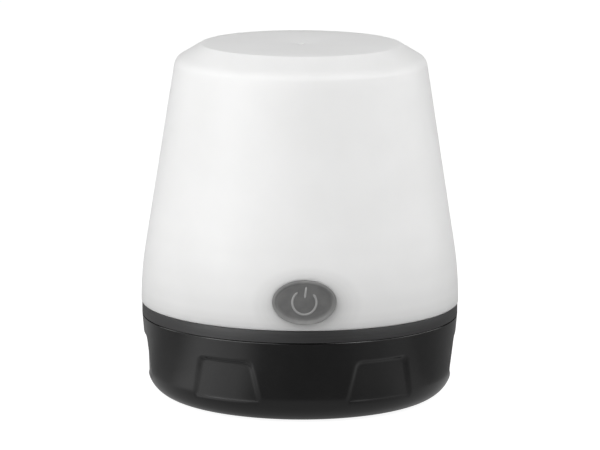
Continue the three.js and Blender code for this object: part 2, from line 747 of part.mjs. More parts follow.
function makeContactSpring() {
  const coil = new TaperedHelix(...SPRING_RADII, SPRING_HEIGHT, SPRING_TURNS);
  return wireAlong(coil, SPRING_WIRE, 28, 5);
}

function makeContactPlate() {
  return new THREE.BoxGeometry(...PLATE_SIZE);
}

// A cell with its spring and plate; every other bay is turned end for end.
function makeBay(index) {
  const bay = new THREE.Group();
  const number = index + 1;
  const cell = part(`cell_${number}`, makeCell(), cellFinish);
  cell.position.y = CELL_SHIFT;
  const spring = part(`contact_spring_${number}`, makeContactSpring(), steel);
  spring.position.y = SPRING_START;
  const plate = part(`contact_plate_${number}`, makeContactPlate(), steel);
  plate.position.y = PLATE_PLACE;
  bay.add(cell, spring, plate);
  bay.position.set(bayCentres()[index], 0, CELL_Z);
  bay.rotation.z = index === 1 ? Math.PI : 0;
  return bay;
}

// ---- Wires ----

function makeWire(points) {
  const curve = new THREE.CatmullRomCurve3(points.map((point) => new THREE.Vector3(...point)));
  return wireAlong(curve, WIRE_RADIUS, 3 * (points.length - 1), 8);
}

// From the last contact up through the deck and round the lamp board to the switch board.
function makePositiveWire() {
  const round = [130, 155, 180, 205, 230].map((angle) => [...onCircle(30.5, angle), 25.3]);
  return makeWire([
    [-15.8, 29.6, 14],
    [-15, 30, 17.5],
    [-13, 31.5, 21],
    [-12.8, 31.2, 24.4],
    [-12.6, 29, 25.6],
    ...round,
    [-15.5, -25.6, 25.6],
    [-9, -27.9, 27.4],
    [-6, -29.2, 30],
    [-5.5, -30, 32.5],
  ]);
}

function makeSwitchedWire() {
  return makeWire([
    [5.5, -30, 32.5],
    [6, -29, 29.6],
    [5, -25.8, 27.8],
    [4, -20.8, 27.5],
  ]);
}

function makeNegativeWire() {
  return makeWire([
    [15.8, 29.6, 14],
    [15, 30, 17.5],
    [13, 31.5, 21],
    [12.8, 31.2, 24.4],
    [12, 28, 25.5],
    [10, 20.6, 25.5],
  ]);
}

// ---- Screws ----

// A pan-head screw that points down, with its head's underside at z = 0.
function makeScrew(length) {
  const screw = turned([
    [0, -length],
    [SCREW_SHANK, -length],
    [SCREW_SHANK, 0],
    [SCREW_HEAD, 0],
    [SCREW_HEAD, SCREW_HEAD_HEIGHT - 0.5],
    [SCREW_HEAD - 0.6, SCREW_HEAD_HEIGHT],
    [0, SCREW_HEAD_HEIGHT],
  ], 10);
  const slotDepth = [SCREW_HEAD_HEIGHT - 0.7, SCREW_HEAD_HEIGHT + 1];
  const slots = [[1.3, 0.3], [0.3, 1.3]].map(([x, y]) => block([-x, x], [-y, y], slotDepth));
  return cut(screw, ...slots);
}

function placedScrews(prefix, places, length, z) {
  return places.map(([x, y], index) => {
    const screw = part(`${prefix}_${index + 1}`, makeScrew(length), steel);
    screw.position.set(x, y, z);
    return screw;
  });
}

// Holder screws point up through the ears into the deck.
function holderScrews() {
  const screws = placedScrews("holder_screw", earPlaces(), LONG_SCREW, EAR_BOTTOM_Z - SCREW_SEAT);
  screws.forEach((screw) => {
    screw.rotation.x = Math.PI;
  });
  return screws;
}

// Switch-board screws point forward, toward the button.
function switchBoardScrews() {
  const places = [-POST_X, POST_X].map((x) => [x, SWITCH_BOARD_Y[1] + SCREW_SEAT]);
  const screws = placedScrews("switch_board_screw", places, BOARD_SCREW, BUTTON_Z);
  screws.forEach((screw) => {
    screw.rotation.x = -Math.PI / 2;
  });
  return screws;
}

// ---- Assembly ----

function makeLampHead() {
  const group = new THREE.Group();
  group.add(
    part("diffuser", makeDiffuser(), frostedPlastic),
    part("collar", makeCollar(), satinBlackPlastic),
    part("base_seal", makeBaseSeal(), blackRubber),
    part("reflector", makeReflector(), whitePlastic),
    part("lamp_board", makeLampBoard(), lampBoardFinish),
    part("button_frame", makeButtonFrame(), innerBlackPlastic),
    part("switch_board", makeSwitchBoard(), boardFinish),
    part("switch_body", makeSwitchBody(), innerBlackPlastic),
    part("battery_holder", makeBatteryHolder(), innerBlackPlastic),
    part("wire_positive", makePositiveWire(), redWire),
    part("wire_switched", makeSwitchedWire(), whiteWire),
    part("wire_negative", makeNegativeWire(), blackWire),
    ...bayCentres().map((_, index) => makeBay(index)),
    ...makeLeds(),
    ...placedScrews("lamp_board_screw", boardScrewPlaces(), SHORT_SCREW, BOARD_Z[1] + SCREW_SEAT),
    ...placedScrews("frame_screw", frameScrewPlaces(), SHORT_SCREW, FRAME_FOOT_TOP_Z + SCREW_SEAT),
    ...holderScrews(),
    ...switchBoardScrews(),
  );
  return group;
}

function makeLeds() {
  return angles(LED_COUNT, 30).map((angle, index) => {
    const led = part(`led_${index + 1}`, makeLed(), ledFinish);
    const [x, y] = onCircle(LED_CIRCLE, angle);
    led.position.set(x, y, BOARD_Z[1] + 0.1);
    led.rotation.z = angle * DEG;
    return led;
  });
}

function makeBase() {
  const group = new THREE.Group();
  const pads = padPlaces().map(([x, y], index) => {
    const pad = part(`foot_pad_${index + 1}`, makeFootPad(), blackRubber);
    pad.position.set(x, y, 0);
    return pad;
  });
  group.add(
    part("base_cup", makeBaseCup(), glossBlackPlastic),
    part("hanging_hook", makeHangingHook(), satinBlackPlastic),
    ...pads,
  );
  return group;
}

const lantern = new THREE.Group();
lantern.add(
  makeLampHead(),
  part("power_button", makePowerButton(), greyRubber),
  part("switch_plunger", makeSwitchPlunger(), whitePlastic),
  makeBase(),
);

export default lantern;
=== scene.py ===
# %% [markdown]
# # A small battery lantern
#
# This file dresses a packed lantern for its picture. The frame already holds every part at its
# true size and place: a frosted shade, a dark collar, a glossy battery cup with finger grips,
# a rubber button, and the lamp and batteries inside. Here the parts that show get fine meshes,
# and every part gets a finish. Everything is in metres, in the frame's own axes: the lantern
# stands on Z = 0, its axis is the Z axis, and the button faces -Y.

# %% The frame and its box
import json
import math

import bmesh
import bpy
from mathutils import Matrix, Vector


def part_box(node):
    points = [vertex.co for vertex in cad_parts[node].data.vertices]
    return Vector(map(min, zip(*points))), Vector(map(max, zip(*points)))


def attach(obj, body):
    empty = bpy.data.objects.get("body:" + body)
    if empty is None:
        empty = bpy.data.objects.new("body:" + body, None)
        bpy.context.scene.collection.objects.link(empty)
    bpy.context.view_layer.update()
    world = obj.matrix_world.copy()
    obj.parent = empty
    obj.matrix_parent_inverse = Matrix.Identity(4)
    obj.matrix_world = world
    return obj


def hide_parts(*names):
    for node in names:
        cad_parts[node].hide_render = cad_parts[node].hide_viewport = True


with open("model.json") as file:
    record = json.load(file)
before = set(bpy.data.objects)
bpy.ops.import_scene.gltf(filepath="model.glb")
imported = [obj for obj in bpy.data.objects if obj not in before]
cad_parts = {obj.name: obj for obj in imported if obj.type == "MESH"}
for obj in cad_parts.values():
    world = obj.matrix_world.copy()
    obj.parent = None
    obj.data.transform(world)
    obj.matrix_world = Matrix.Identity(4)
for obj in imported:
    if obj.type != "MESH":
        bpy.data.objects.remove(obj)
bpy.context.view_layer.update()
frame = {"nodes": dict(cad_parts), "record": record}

# %% [markdown]
# ## Sizes
#
# A maker works from a few sizes and gets the rest from them. The big ones are read from the
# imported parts, so that a change of the frame changes the fine meshes too. The small ones, such
# as the roundness of an edge, are the maker's own choice.

# %% Sizes read from the frame
mm = 0.001
shade_low, shade_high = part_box("diffuser")
cup_low, cup_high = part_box("base_cup")
collar_low, collar_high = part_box("collar")
pad_low, pad_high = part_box("foot_pad_1")
hook_low, hook_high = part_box("hanging_hook")
button_low, button_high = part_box("power_button")

button_centre = Vector((0, 0, (button_low.z + button_high.z) / 2))
button_half_width = 8.8 * mm
button_half_height = 6.15 * mm
button_tilt = math.radians(0.8)
body_radius = shade_high.x
shade_foot = shade_low.z
shade_top = shade_high.z
rim_radius = cup_high.x
cup_bottom = cup_low.z
cup_rim = cup_high.z
collar_radius = collar_high.x
print("shade", round(body_radius / mm, 2), "mm radius,", round(shade_top / mm, 2), "mm top")
print("cup rim at", round(cup_rim / mm, 2), "mm, collar radius", round(collar_radius / mm, 2), "mm")

# %% [markdown]
# ## The camera
#
# The lantern is looked at from about a metre away and ten degrees above the horizon, with a long
# lens, so its sides hardly converge. A camera is easiest to place with three numbers: the point
# it looks at, how high it stands in degrees, and its distance.

# %% Camera
aim = Vector((-0.05 * mm, 0, 48.41 * mm))
camera_height = math.radians(10.34)
camera_side = math.radians(-1.6)
camera_roll = math.radians(0.25)
camera_distance = 1.1
film_width = 36
lens = 232.8

camera_data = bpy.data.cameras.new("camera")
camera_data.sensor_width = film_width
camera_data.lens = lens
camera_data.clip_start = 0.05
camera = bpy.data.objects.new("camera", camera_data)
bpy.context.collection.objects.link(camera)
back = Vector((
    math.sin(camera_side) * math.cos(camera_height),
    -math.cos(camera_side) * math.cos(camera_height),
    math.sin(camera_height),
))
camera.location = aim + back * camera_distance
turn = back.to_track_quat("Z", "Y")
camera.rotation_euler = (turn @ Matrix.Rotation(camera_roll, 3, "Z").to_quaternion()).to_euler()
bpy.context.scene.camera = camera
print("camera at", tuple(round(c, 3) for c in camera.location))

# %% [markdown]
# ## Patterns from places
#
# The floor and several finishes change from place to place: pools of light round the lantern, a
# greyer foot of the shade. These small helpers turn a place into a number, so that each pattern
# can be written as a short list of places and levels.

# %% Node helpers
def calculated(tree, operation, *values):
    """A maths node on sockets or numbers."""
    node = tree.nodes.new("ShaderNodeMath")
    node.operation = operation
    for socket, value in zip(node.inputs, values):
        if isinstance(value, (int, float)):
            socket.default_value = value
        else:
            tree.links.new(value, socket)
    return node.outputs[0]


def eased(tree, value, start, end, first, last):
    """A number that eases from first to last while the value goes from start to end."""
    node = tree.nodes.new("ShaderNodeMapRange")
    node.interpolation_type = "SMOOTHSTEP"
    node.inputs["From Min"].default_value = start
    node.inputs["From Max"].default_value = end
    node.inputs["To Min"].default_value = first
    node.inputs["To Max"].default_value = last
    tree.links.new(value, node.inputs["Value"])
    return node.outputs["Result"]


def ramp_of(tree, value, stops):
    """A number that eases between (place, level) stops as the value passes their places."""
    start, end = stops[0][0], stops[-1][0]
    share = calculated(tree, "DIVIDE", calculated(tree, "SUBTRACT", value, start), end - start)
    node = tree.nodes.new("ShaderNodeValToRGB")
    node.color_ramp.interpolation = "EASE"
    elements = node.color_ramp.elements
    for _ in range(len(stops) - 2):
        elements.new(0.5)
    for element, (place, level) in zip(elements, stops):
        element.position = (place - start) / (end - start)
        element.color = (level, level, level, 1)
    tree.links.new(share, node.inputs["Fac"])
    return node.outputs["Color"]


def axes_of(tree):
    """The X, Y and Z of Object coordinates."""
    place = tree.nodes.new("ShaderNodeTexCoord")
    axes = tree.nodes.new("ShaderNodeSeparateXYZ")
    tree.links.new(place.outputs["Object"], axes.inputs[0])
    return axes.outputs["X"], axes.outputs["Y"], axes.outputs["Z"]


def length_of(tree, x, y):
    """The length of the arrow (x, y)."""
    x_squared = calculated(tree, "MULTIPLY", x, x)
    y_squared = calculated(tree, "MULTIPLY", y, y)
    return calculated(tree, "SQRT", calculated(tree, "ADD", x_squared, y_squared))


print("node helpers ready")

# %% [markdown]
# ## The studio
#
# A white product on white needs soft light from large panels and a dark room round them. The world
# is almost black for the lantern's reflections but white behind it, as a lit paper background is.
# The floor is the same paper. To the camera it is white. The glossy cup mirrors it at a low angle,
# and on real paper it would find pools of light from the panels there. A floor with a sheen would
# make them, but it would also throw light up at the shade. So here they are drawn, as a glow that
# only glossy parts see, strong or weak by its angle round the lantern.

# %% World and floor
def new_world(seen, lit):
    """A world with one brightness to the camera and another for everything it lights."""
    world = bpy.data.worlds.new("paper")
    world.use_nodes = True
    tree = world.node_tree
    tree.nodes.clear()
    path = tree.nodes.new("ShaderNodeLightPath")
    shown = tree.nodes.new("ShaderNodeBackground")
    shown.inputs["Color"].default_value = (1, 1, 1, 1)
    shown.inputs["Strength"].default_value = seen
    around = tree.nodes.new("ShaderNodeBackground")
    around.inputs["Color"].default_value = (1, 1, 1, 1)
    around.inputs["Strength"].default_value = lit
    mix = tree.nodes.new("ShaderNodeMixShader")
    out = tree.nodes.new("ShaderNodeOutputWorld")
    tree.links.new(path.outputs["Is Camera Ray"], mix.inputs["Fac"])
    tree.links.new(around.outputs[0], mix.inputs[1])
    tree.links.new(shown.outputs[0], mix.inputs[2])
    tree.links.new(mix.outputs[0], out.inputs["Surface"])
    return world


def panel_pools(tree):
    """Where glossy parts see the panels' light lying on the paper, by angle and distance."""
    x, y, _ = axes_of(tree)
    angle = calculated(tree, "ARCTAN2", x, calculated(tree, "MULTIPLY", y, -1.0))
    distance = length_of(tree, x, y)
    stops = [(math.radians(degrees), level) for degrees, level in POOL_STOPS]
    round_pools = ramp_of(tree, angle, stops)
    beyond = eased(tree, distance, 52 * mm, 62 * mm, 0, 1)
    beneath = eased(tree, distance, 52 * mm, 62 * mm, UNDER_GLOW, 0)
    return calculated(tree, "ADD", calculated(tree, "MULTIPLY", round_pools, beyond), beneath)


def paper_floor(paleness, seen_glow):
    """A floor that looks white to the camera and holds the panels' pools for glossy parts."""
    paper = bpy.data.materials.new("floor_paper")
    paper.use_nodes = True
    tree = paper.node_tree
    tree.nodes.clear()
    path = tree.nodes.new("ShaderNodeLightPath")
    sheet = tree.nodes.new("ShaderNodeBsdfDiffuse")
    sheet.inputs["Color"].default_value = (paleness, paleness, paleness, 1)
    light = tree.nodes.new("ShaderNodeEmission")
    both = tree.nodes.new("ShaderNodeAddShader")
    out = tree.nodes.new("ShaderNodeOutputMaterial")
    seen = calculated(tree, "MULTIPLY", path.outputs["Is Camera Ray"], seen_glow)
    pools = calculated(tree, "MULTIPLY", path.outputs["Is Glossy Ray"], panel_pools(tree))
    tree.links.new(calculated(tree, "ADD", seen, pools), light.inputs["Strength"])
    tree.links.new(sheet.outputs[0], both.inputs[0])
    tree.links.new(light.outputs[0], both.inputs[1])
    tree.links.new(both.outputs[0], out.inputs["Surface"])
    return paper


# degrees from the front, positive to the right of the button, and the brightness seen there
POOL_STOPS = [
    (-160, 0), (-125, 0.15), (-100, 0.05), (-85, 0.1), (-60, 0.83), (-40, 0.68), (-20, 0.05),
    (0, 0), (20, 0), (40, 0.12), (60, 0.22), (80, 0), (120, 0),
]
UNDER_GLOW = 0.24
bpy.context.scene.world = new_world(seen=1.0, lit=0.005)
bpy.context.scene.view_settings.view_transform = "Standard"
floor_mesh = bpy.data.meshes.new("floor")
floor_bm = bmesh.new()
bmesh.ops.create_grid(floor_bm, x_segments=1, y_segments=1, size=3.0)
floor_bm.to_mesh(floor_mesh)
floor_bm.free()
floor_mesh.materials.append(paper_floor(paleness=0.3, seen_glow=0.92))
floor = bpy.data.objects.new("floor", floor_mesh)
bpy.context.collection.objects.link(floor)
print("floor of", floor.dimensions.x, "m")

# %% [markdown]
# ### Soft panels
#
# The panels stand in a ring at the lantern's height, and three more hang above it. A panel could be
# a lamp with a big radius, but a rectangle gives the straight edges that studio highlights have.
# The left side is the brighter one, and so is the high right, which shines on the shade's shoulder.

# %% Soft panels
def soft_panel(name, place, target, width, height, power):
    """A rectangular soft light at a place, turned to face a target."""
    data = bpy.data.lights.new(name, "AREA")
    data.shape = "RECTANGLE"
    data.size = width
    data.size_y = height
    data.energy = power
    panel = bpy.data.objects.new(name, data)
    panel.location = place
    panel.rotation_euler = (Vector(place) - Vector(target)).to_track_quat("Z", "Y").to_euler()
    bpy.context.collection.objects.link(panel)
    return panel


def place_round(side, distance, height):
    """A place at an angle in degrees from the front, positive to the right of the button."""
    turn = math.radians(side)
    return (math.sin(turn) * distance, -math.cos(turn) * distance, height)


middle = (0, 0, 0.05)
panels = [
    ("front_left", -25, 0.85, 0.3, 0.3, 0.6, 1.26),
    ("left_front", -45, 0.85, 0.3, 0.3, 0.6, 1.74),
    ("left", -65, 0.85, 0.3, 0.3, 0.6, 2.98),
    ("far_left", -85, 0.85, 0.3, 0.3, 0.6, 0.72),
    ("left_back", -110, 0.85, 0.3, 0.3, 0.6, 1.18),
    ("right_front", 45, 0.85, 0.3, 0.3, 0.6, 1.37),
    ("right", 65, 0.85, 0.3, 0.3, 0.6, 0.72),
    ("far_right", 85, 0.85, 0.3, 0.3, 0.6, 1.48),
    ("right_back", 110, 0.85, 0.3, 0.3, 0.6, 1.07),
    ("high_left", -45, 0.7, 0.75, 0.4, 0.4, 0.47),
    ("high_right", 45, 0.7, 0.75, 0.4, 0.4, 3.3),
    ("high_back", 180, 0.7, 0.7, 0.7, 0.4, 2.64),
]
for name, side, distance, height, width, tall, watts in panels:
    soft_panel(name, place_round(side, distance, height), middle, width, tall, watts)
print(len(panels), "soft panels")

# %% [markdown]
# ## Making turned shells
#
# Shade, collar and cup are round, so each starts as an outline in the XZ plane and is spun about
# the axis. An outline needs only its corners: `round_corner` swaps a sharp corner for an arc, and
# `inset` gives the inside of a wall from its outside.

# %% Outline helpers
def round_corner(before, corner, after, radius, steps):
    """An arc of points that rounds the corner between two straight stretches."""
    tip = Vector(corner)
    back_way = (Vector(before) - tip).normalized()
    ahead = (Vector(after) - tip).normalized()
    half = back_way.angle(ahead) / 2
    centre = tip + (back_way + ahead).normalized() * (radius / math.sin(half))
    spoke = tip + back_way * (radius / math.tan(half)) - centre
    side = 1 if back_way.x * ahead.y - back_way.y * ahead.x < 0 else -1
    full = (math.pi - 2 * half) * side
    return [tuple(centre + Matrix.Rotation(full * i / steps, 2) @ spoke) for i in range(steps + 1)]


def rounded(outline, radii, steps=6):
    """The outline with its corners rounded: one radius for each inner point, 0 for a sharp one."""
    points = [outline[0]]
    for i, radius in enumerate(radii, start=1):
        if radius:
            points += round_corner(outline[i - 1], outline[i], outline[i + 1], radius, steps)
        else:
            points.append(outline[i])
    return points + [outline[-1]]


def inset(outline, distance):
    """The outline moved to its left by a distance, its corners kept sharp."""
    points = [Vector(p) for p in outline]
    normals = []
    for start, end in zip(points, points[1:]):
        along = (end - start).normalized()
        normals.append(Vector((-along.y, along.x)))
    moved = []
    for i, point in enumerate(points):
        a = normals[max(i - 1, 0)]
        b = normals[min(i, len(normals) - 1)]
        moved.append(tuple(point + (a + b) * (distance / (1 + a.dot(b)))))
    return moved


# %% [markdown]
# ### From outline to piece
#
# The outline becomes a surface with one spin, which is quicker to edit than a lathe modifier on a
# curve and leaves plain faces. Screw holes and pockets come from booleans on small tool shapes.
# Each finished piece then gets smooth shading, with creases kept sharp, and rides on its body.

# %% Spinning and finishing meshes
def spun(outline, steps, closed):
    """A bmesh turned about Z from (radius, height) points. A closed outline makes a ring."""
    bm = bmesh.new()
    verts = [bm.verts.new((radius, 0, height)) for radius, height in outline]
    pairs = list(zip(verts, verts[1:])) + ([(verts[-1], verts[0])] if closed else [])
    edges = [bm.edges.new(pair) for pair in pairs]
    bmesh.ops.spin(
        bm, geom=verts + edges, cent=(0, 0, 0), axis=(0, 0, 1), dvec=(0, 0, 0),
        angle=math.tau, steps=steps, use_merge=True, use_duplicate=False,
    )
    bmesh.ops.remove_doubles(bm, verts=bm.verts, dist=0.0005 * mm)
    bmesh.ops.recalc_face_normals(bm, faces=bm.faces)
    return bm


def finished(name, bm, material, body, replaced=(), sharp=35):
    """Makes the bmesh a piece: smooth shading with sharp creases, its finish and body; hides replaced
    parts.
    """
    for face in bm.faces:
        face.smooth = True
    for edge in bm.edges:
        edge.smooth = edge.calc_face_angle(0) < math.radians(sharp)
    mesh = bpy.data.meshes.new(name)
    bm.to_mesh(mesh)
    bm.free()
    mesh.materials.append(material)
    piece = bpy.data.objects.new(name, mesh)
    bpy.context.collection.objects.link(piece)
    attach(piece, body)
    if replaced:
        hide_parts(*replaced)
    print(name, "has", len(mesh.polygons), "faces")
    return piece


def loose(name, bm):
    """A temporary object that holds a bmesh for a boolean."""
    mesh = bpy.data.meshes.new(name)
    bm.to_mesh(mesh)
    bm.free()
    thing = bpy.data.objects.new(name, mesh)
    bpy.context.collection.objects.link(thing)
    return thing


def carved(bm, tools, operation="DIFFERENCE"):
    """The bmesh with each tool bmesh cut from it or joined to it."""
    base = loose("work", bm)
    helpers = [loose(f"tool_{i}", tool) for i, tool in enumerate(tools)]
    for helper in helpers:
        boolean = base.modifiers.new("boolean", "BOOLEAN")
        boolean.operation = operation
        boolean.solver = "EXACT"
        boolean.object = helper
    depsgraph = bpy.context.evaluated_depsgraph_get()
    result = bmesh.new()
    result.from_mesh(base.evaluated_get(depsgraph).to_mesh())
    for thing in [base, *helpers]:
        old = thing.data
        bpy.data.objects.remove(thing)
        bpy.data.meshes.remove(old)
    bmesh.ops.remove_doubles(result, verts=result.verts, dist=0.001 * mm)
    return result


# %% [markdown]
# ## Finishes
#
# Every finish is a Principled shader fed by patterns on Object coordinates, which are metres on
# the real thing. A pattern's scale is then easy to judge: noise at a scale of 1000 has features of
# about a millimetre. `base_finish` starts each one, and small helpers add a drift of colour, a
# spread of gloss and a fine relief.

# %% Finish helpers
def base_finish(name, roughness, specular=0.5):
    """A new Principled material, with its node tree and shader."""
    material = bpy.data.materials.new(name)
    material.use_nodes = True
    shader = material.node_tree.nodes["Principled BSDF"]
    shader.inputs["Roughness"].default_value = roughness
    shader.inputs["Specular IOR Level"].default_value = specular
    return material, material.node_tree, shader


def noise(tree, scale, detail=3.0, stretch=(1, 1, 1)):
    """A noise on Object coordinates, stretched along the axes."""
    place = tree.nodes.new("ShaderNodeTexCoord")
    mapping = tree.nodes.new("ShaderNodeMapping")
    mapping.inputs["Scale"].default_value = stretch
    pattern = tree.nodes.new("ShaderNodeTexNoise")
    pattern.inputs["Scale"].default_value = scale
    pattern.inputs["Detail"].default_value = detail
    tree.links.new(place.outputs["Object"], mapping.inputs["Vector"])
    tree.links.new(mapping.outputs["Vector"], pattern.inputs["Vector"])
    return pattern.outputs["Fac"]


def colour_between(tree, factor, dark, light, low=0.35, high=0.65):
    """A colour that drifts between two tones as the factor goes from low to high."""
    ramp = tree.nodes.new("ShaderNodeValToRGB")
    ramp.color_ramp.elements[0].position = low
    ramp.color_ramp.elements[0].color = (*dark, 1)
    ramp.color_ramp.elements[1].position = high
    ramp.color_ramp.elements[1].color = (*light, 1)
    tree.links.new(factor, ramp.inputs["Fac"])
    return ramp.outputs["Color"]


def value_between(tree, factor, low, high):
    """A number that follows the factor from low to high."""
    spread = tree.nodes.new("ShaderNodeMapRange")
    spread.inputs["From Min"].default_value = 0.3
    spread.inputs["From Max"].default_value = 0.7
    spread.inputs["To Min"].default_value = low
    spread.inputs["To Max"].default_value = high
    tree.links.new(factor, spread.inputs["Value"])
    return spread.outputs["Result"]


def add_relief(tree, shader, factor, height, strength=1.0):
    """Fine bumps of a height in metres. A second call lies on top of the first."""
    bump = tree.nodes.new("ShaderNodeBump")
    bump.inputs["Distance"].default_value = height
    bump.inputs["Strength"].default_value = strength
    tree.links.new(factor, bump.inputs["Height"])
    earlier = shader.inputs["Normal"].links
    if earlier:
        tree.links.new(earlier[0].from_socket, bump.inputs["Normal"])
    tree.links.new(bump.outputs["Normal"], shader.inputs["Normal"])


# %% [markdown]
# ### The five outer finishes
#
# The shade is frosted: light wanders 2.5 mm inside it, so its foot is greyer where the dark collar
# stands behind it, and so is a halo round the button, where the button's flange lies behind the
# wall. Left to the light alone, both come out too weak here, so both are painted shade in the base
# colour, by height and by distance from the button. The collar is satin with faint turning streaks,
# the cup glossy with a slight waviness of the moulding, and the button matt silicone, with painted
# light on its rim.

# %% Frosted, satin, glossy and rubber finishes
def oval_share(tree, centre_side, centre_height, half_width, half_height):
    """0 at the middle of an oval on the front, 1 on its edge, more beyond it."""
    x, _, z = axes_of(tree)
    across = calculated(tree, "DIVIDE", calculated(tree, "SUBTRACT", x, centre_side), half_width)
    up = calculated(tree, "DIVIDE", calculated(tree, "SUBTRACT", z, centre_height), half_height)
    return length_of(tree, across, up)


def toned(tree, colour, level):
    """A colour multiplied by a level."""
    mix = tree.nodes.new("ShaderNodeMix")
    mix.data_type = "RGBA"
    mix.blend_type = "MULTIPLY"
    mix.inputs["Factor"].default_value = 1.0
    tree.links.new(colour, mix.inputs[6])
    tree.links.new(level, mix.inputs[7])
    return mix.outputs[2]


def frosted_finish():
    material, tree, shader = base_finish("frosted_white", 0.45, 0.4)
    drift = noise(tree, 60, 2)
    tone = colour_between(tree, drift, (0.86, 0.86, 0.855), (0.88, 0.88, 0.876))
    _, y, z = axes_of(tree)
    # painted shade: the base colour is drawn darker towards the foot, where the dark collar stands
    # behind the wall, and in a halo round the button, over its flange
    foot = ramp_of(tree, z, [(height * mm, level) for height, level in SHADE_FOOT_PAINTED_SHADE])
    halo_height = button_centre.z - HALO_DROP
    share = oval_share(tree, HALO_SIDE, halo_height, button_half_width, button_half_height)
    halo = ramp_of(tree, share, BUTTON_HALO_PAINTED_SHADE)
    at_front = eased(tree, y, -30 * mm, -20 * mm, 0, 1)
    halo_in_front = calculated(tree, "MAXIMUM", halo, at_front)
    with_painted_shade = toned(tree, toned(tree, tone, foot), halo_in_front)
    tree.links.new(with_painted_shade, shader.inputs["Base Color"])
    grain = noise(tree, 2600, 4)
    tree.links.new(value_between(tree, grain, 0.4, 0.5), shader.inputs["Roughness"])
    add_relief(tree, shader, grain, 0.004 * mm)
    shader.inputs["Subsurface Weight"].default_value = 1.0
    shader.inputs["Subsurface Radius"].default_value = (1, 1, 1)
    shader.inputs["Subsurface Scale"].default_value = 2.5 * mm
    return material


def satin_black_finish():
    material, tree, shader = base_finish("satin_black", 0.4)
    streaks = noise(tree, 40, 4, (1, 1, 60))
    tone = colour_between(tree, streaks, (0.022, 0.022, 0.0225), (0.03, 0.03, 0.0305))
    tree.links.new(tone, shader.inputs["Base Color"])
    tree.links.new(value_between(tree, streaks, 0.36, 0.5), shader.inputs["Roughness"])
    add_relief(tree, shader, streaks, 0.01 * mm)
    add_relief(tree, shader, noise(tree, 3000, 3), 0.002 * mm)
    return material


def gloss_black_finish():
    material, tree, shader = base_finish("gloss_black", 0.2)
    smudges = noise(tree, 90, 4)
    tone = colour_between(tree, smudges, (0.0022, 0.0022, 0.0023), (0.0032, 0.0032, 0.0033))
    tree.links.new(tone, shader.inputs["Base Color"])
    tree.links.new(value_between(tree, smudges, 0.17, 0.23), shader.inputs["Roughness"])
    add_relief(tree, shader, noise(tree, 130, 3), 0.012 * mm)
    return material


def button_finish():
    """Grey silicone, with painted light on its rim for the light of the shade that comes through."""
    material, tree, shader = base_finish("grey_silicone", 0.6, 0.35)
    drift = noise(tree, 400, 4)
    tone = colour_between(tree, drift, (0.113, 0.113, 0.112), (0.133, 0.133, 0.131))
    face_height = button_centre.z + FACE_RISE
    share = oval_share(tree, FACE_SIDE, face_height, FACE_HALF_WIDTH, FACE_HALF_HEIGHT)
    # painted light: the rim is drawn paler, for the shade's light coming through the silicone
    rim = ramp_of(tree, share, BUTTON_RIM_PAINTED_LIGHT)
    paler = calculated(tree, "MULTIPLY", rim, RIM_PAINTED_LIGHT)
    tree.links.new(toned(tree, tone, calculated(tree, "ADD", paler, 1.0)), shader.inputs["Base Color"])
    grain = noise(tree, 5000, 3)
    tree.links.new(value_between(tree, grain, 0.54, 0.66), shader.inputs["Roughness"])
    add_relief(tree, shader, grain, 0.006 * mm)
    return material


def rubber_finish(name, dark, light, roughness):
    """A matt finish with a drift of tone and a fine grain."""
    material, tree, shader = base_finish(name, roughness, 0.35)
    drift = noise(tree, 400, 4)
    tree.links.new(colour_between(tree, drift, dark, light), shader.inputs["Base Color"])
    grain = noise(tree, 5000, 3)
    spread = value_between(tree, grain, roughness - 0.06, roughness + 0.06)
    tree.links.new(spread, shader.inputs["Roughness"])
    add_relief(tree, shader, grain, 0.006 * mm)
    return material


# height in mm above the floor, and the level of painted shade there, for the dark collar
# behind the wall's foot
SHADE_FOOT_PAINTED_SHADE = [
    (27, 0.73), (28.2, 0.785), (29.5, 0.835), (32, 0.885), (38.5, 0.935), (47, 0.975), (54, 1),
]
# the painted shade halo's middle, right of and below the button's, then shares of the way out
# from it and how bright the wall is painted there, over the button's flange
HALO_SIDE, HALO_DROP = 0.8 * mm, 0.9 * mm
BUTTON_HALO_PAINTED_SHADE = [
    (0.9, 0.6), (1, 0.68), (1.06, 0.75), (1.12, 0.8), (1.2, 0.85), (1.32, 0.9), (1.5, 0.945), (1.8, 1),
]
# the oval inside the rim, and how much painted light the rim gets at shares of the way out, up to 1
FACE_SIDE, FACE_RISE = 0.15 * mm, 0.15 * mm
FACE_HALF_WIDTH, FACE_HALF_HEIGHT = 8.3 * mm, 5.1 * mm
BUTTON_RIM_PAINTED_LIGHT = [(0.86, 0), (0.96, 0.25), (1.04, 0.7), (1.14, 1), (1.3, 1)]
RIM_PAINTED_LIGHT = 0.9
frosted_white = frosted_finish()
satin_black = satin_black_finish()
gloss_black = gloss_black_finish()
grey_silicone = button_finish()
symbol_grey = rubber_finish("symbol_grey", (0.27, 0.27, 0.268), (0.3, 0.3, 0.298), 0.5)
black_rubber = rubber_finish("black_rubber", (0.012, 0.012, 0.012), (0.018, 0.018, 0.018), 0.8)
print(len(bpy.data.materials), "finishes so far")

# %% [markdown]
# ## The shade
#
# The shade is moulded in one piece. Its wall leaves the collar almost upright, leans in over a
# long soft curve, and turns over a rounded shoulder to a shallow cone. A crisp ring divides the
# cone from the flat top, and the mark of the moulding gate is at its centre. The wall is 2 mm
# thick all over, so light that enters the frosted plastic wanders and comes out again.

# %% Shade outline
shade_wall = 2 * mm
shade_slope = 0.159
shoulder = (35.4 * mm, shade_top - 4.3 * mm)
top_edge = (28.15 * mm, shade_top)
blend_height = shoulder[1] - (body_radius - shoulder[0]) / shade_slope
shade_corners = [
    (body_radius, shade_foot), (body_radius, blend_height), shoulder, top_edge, (0, shade_top),
]


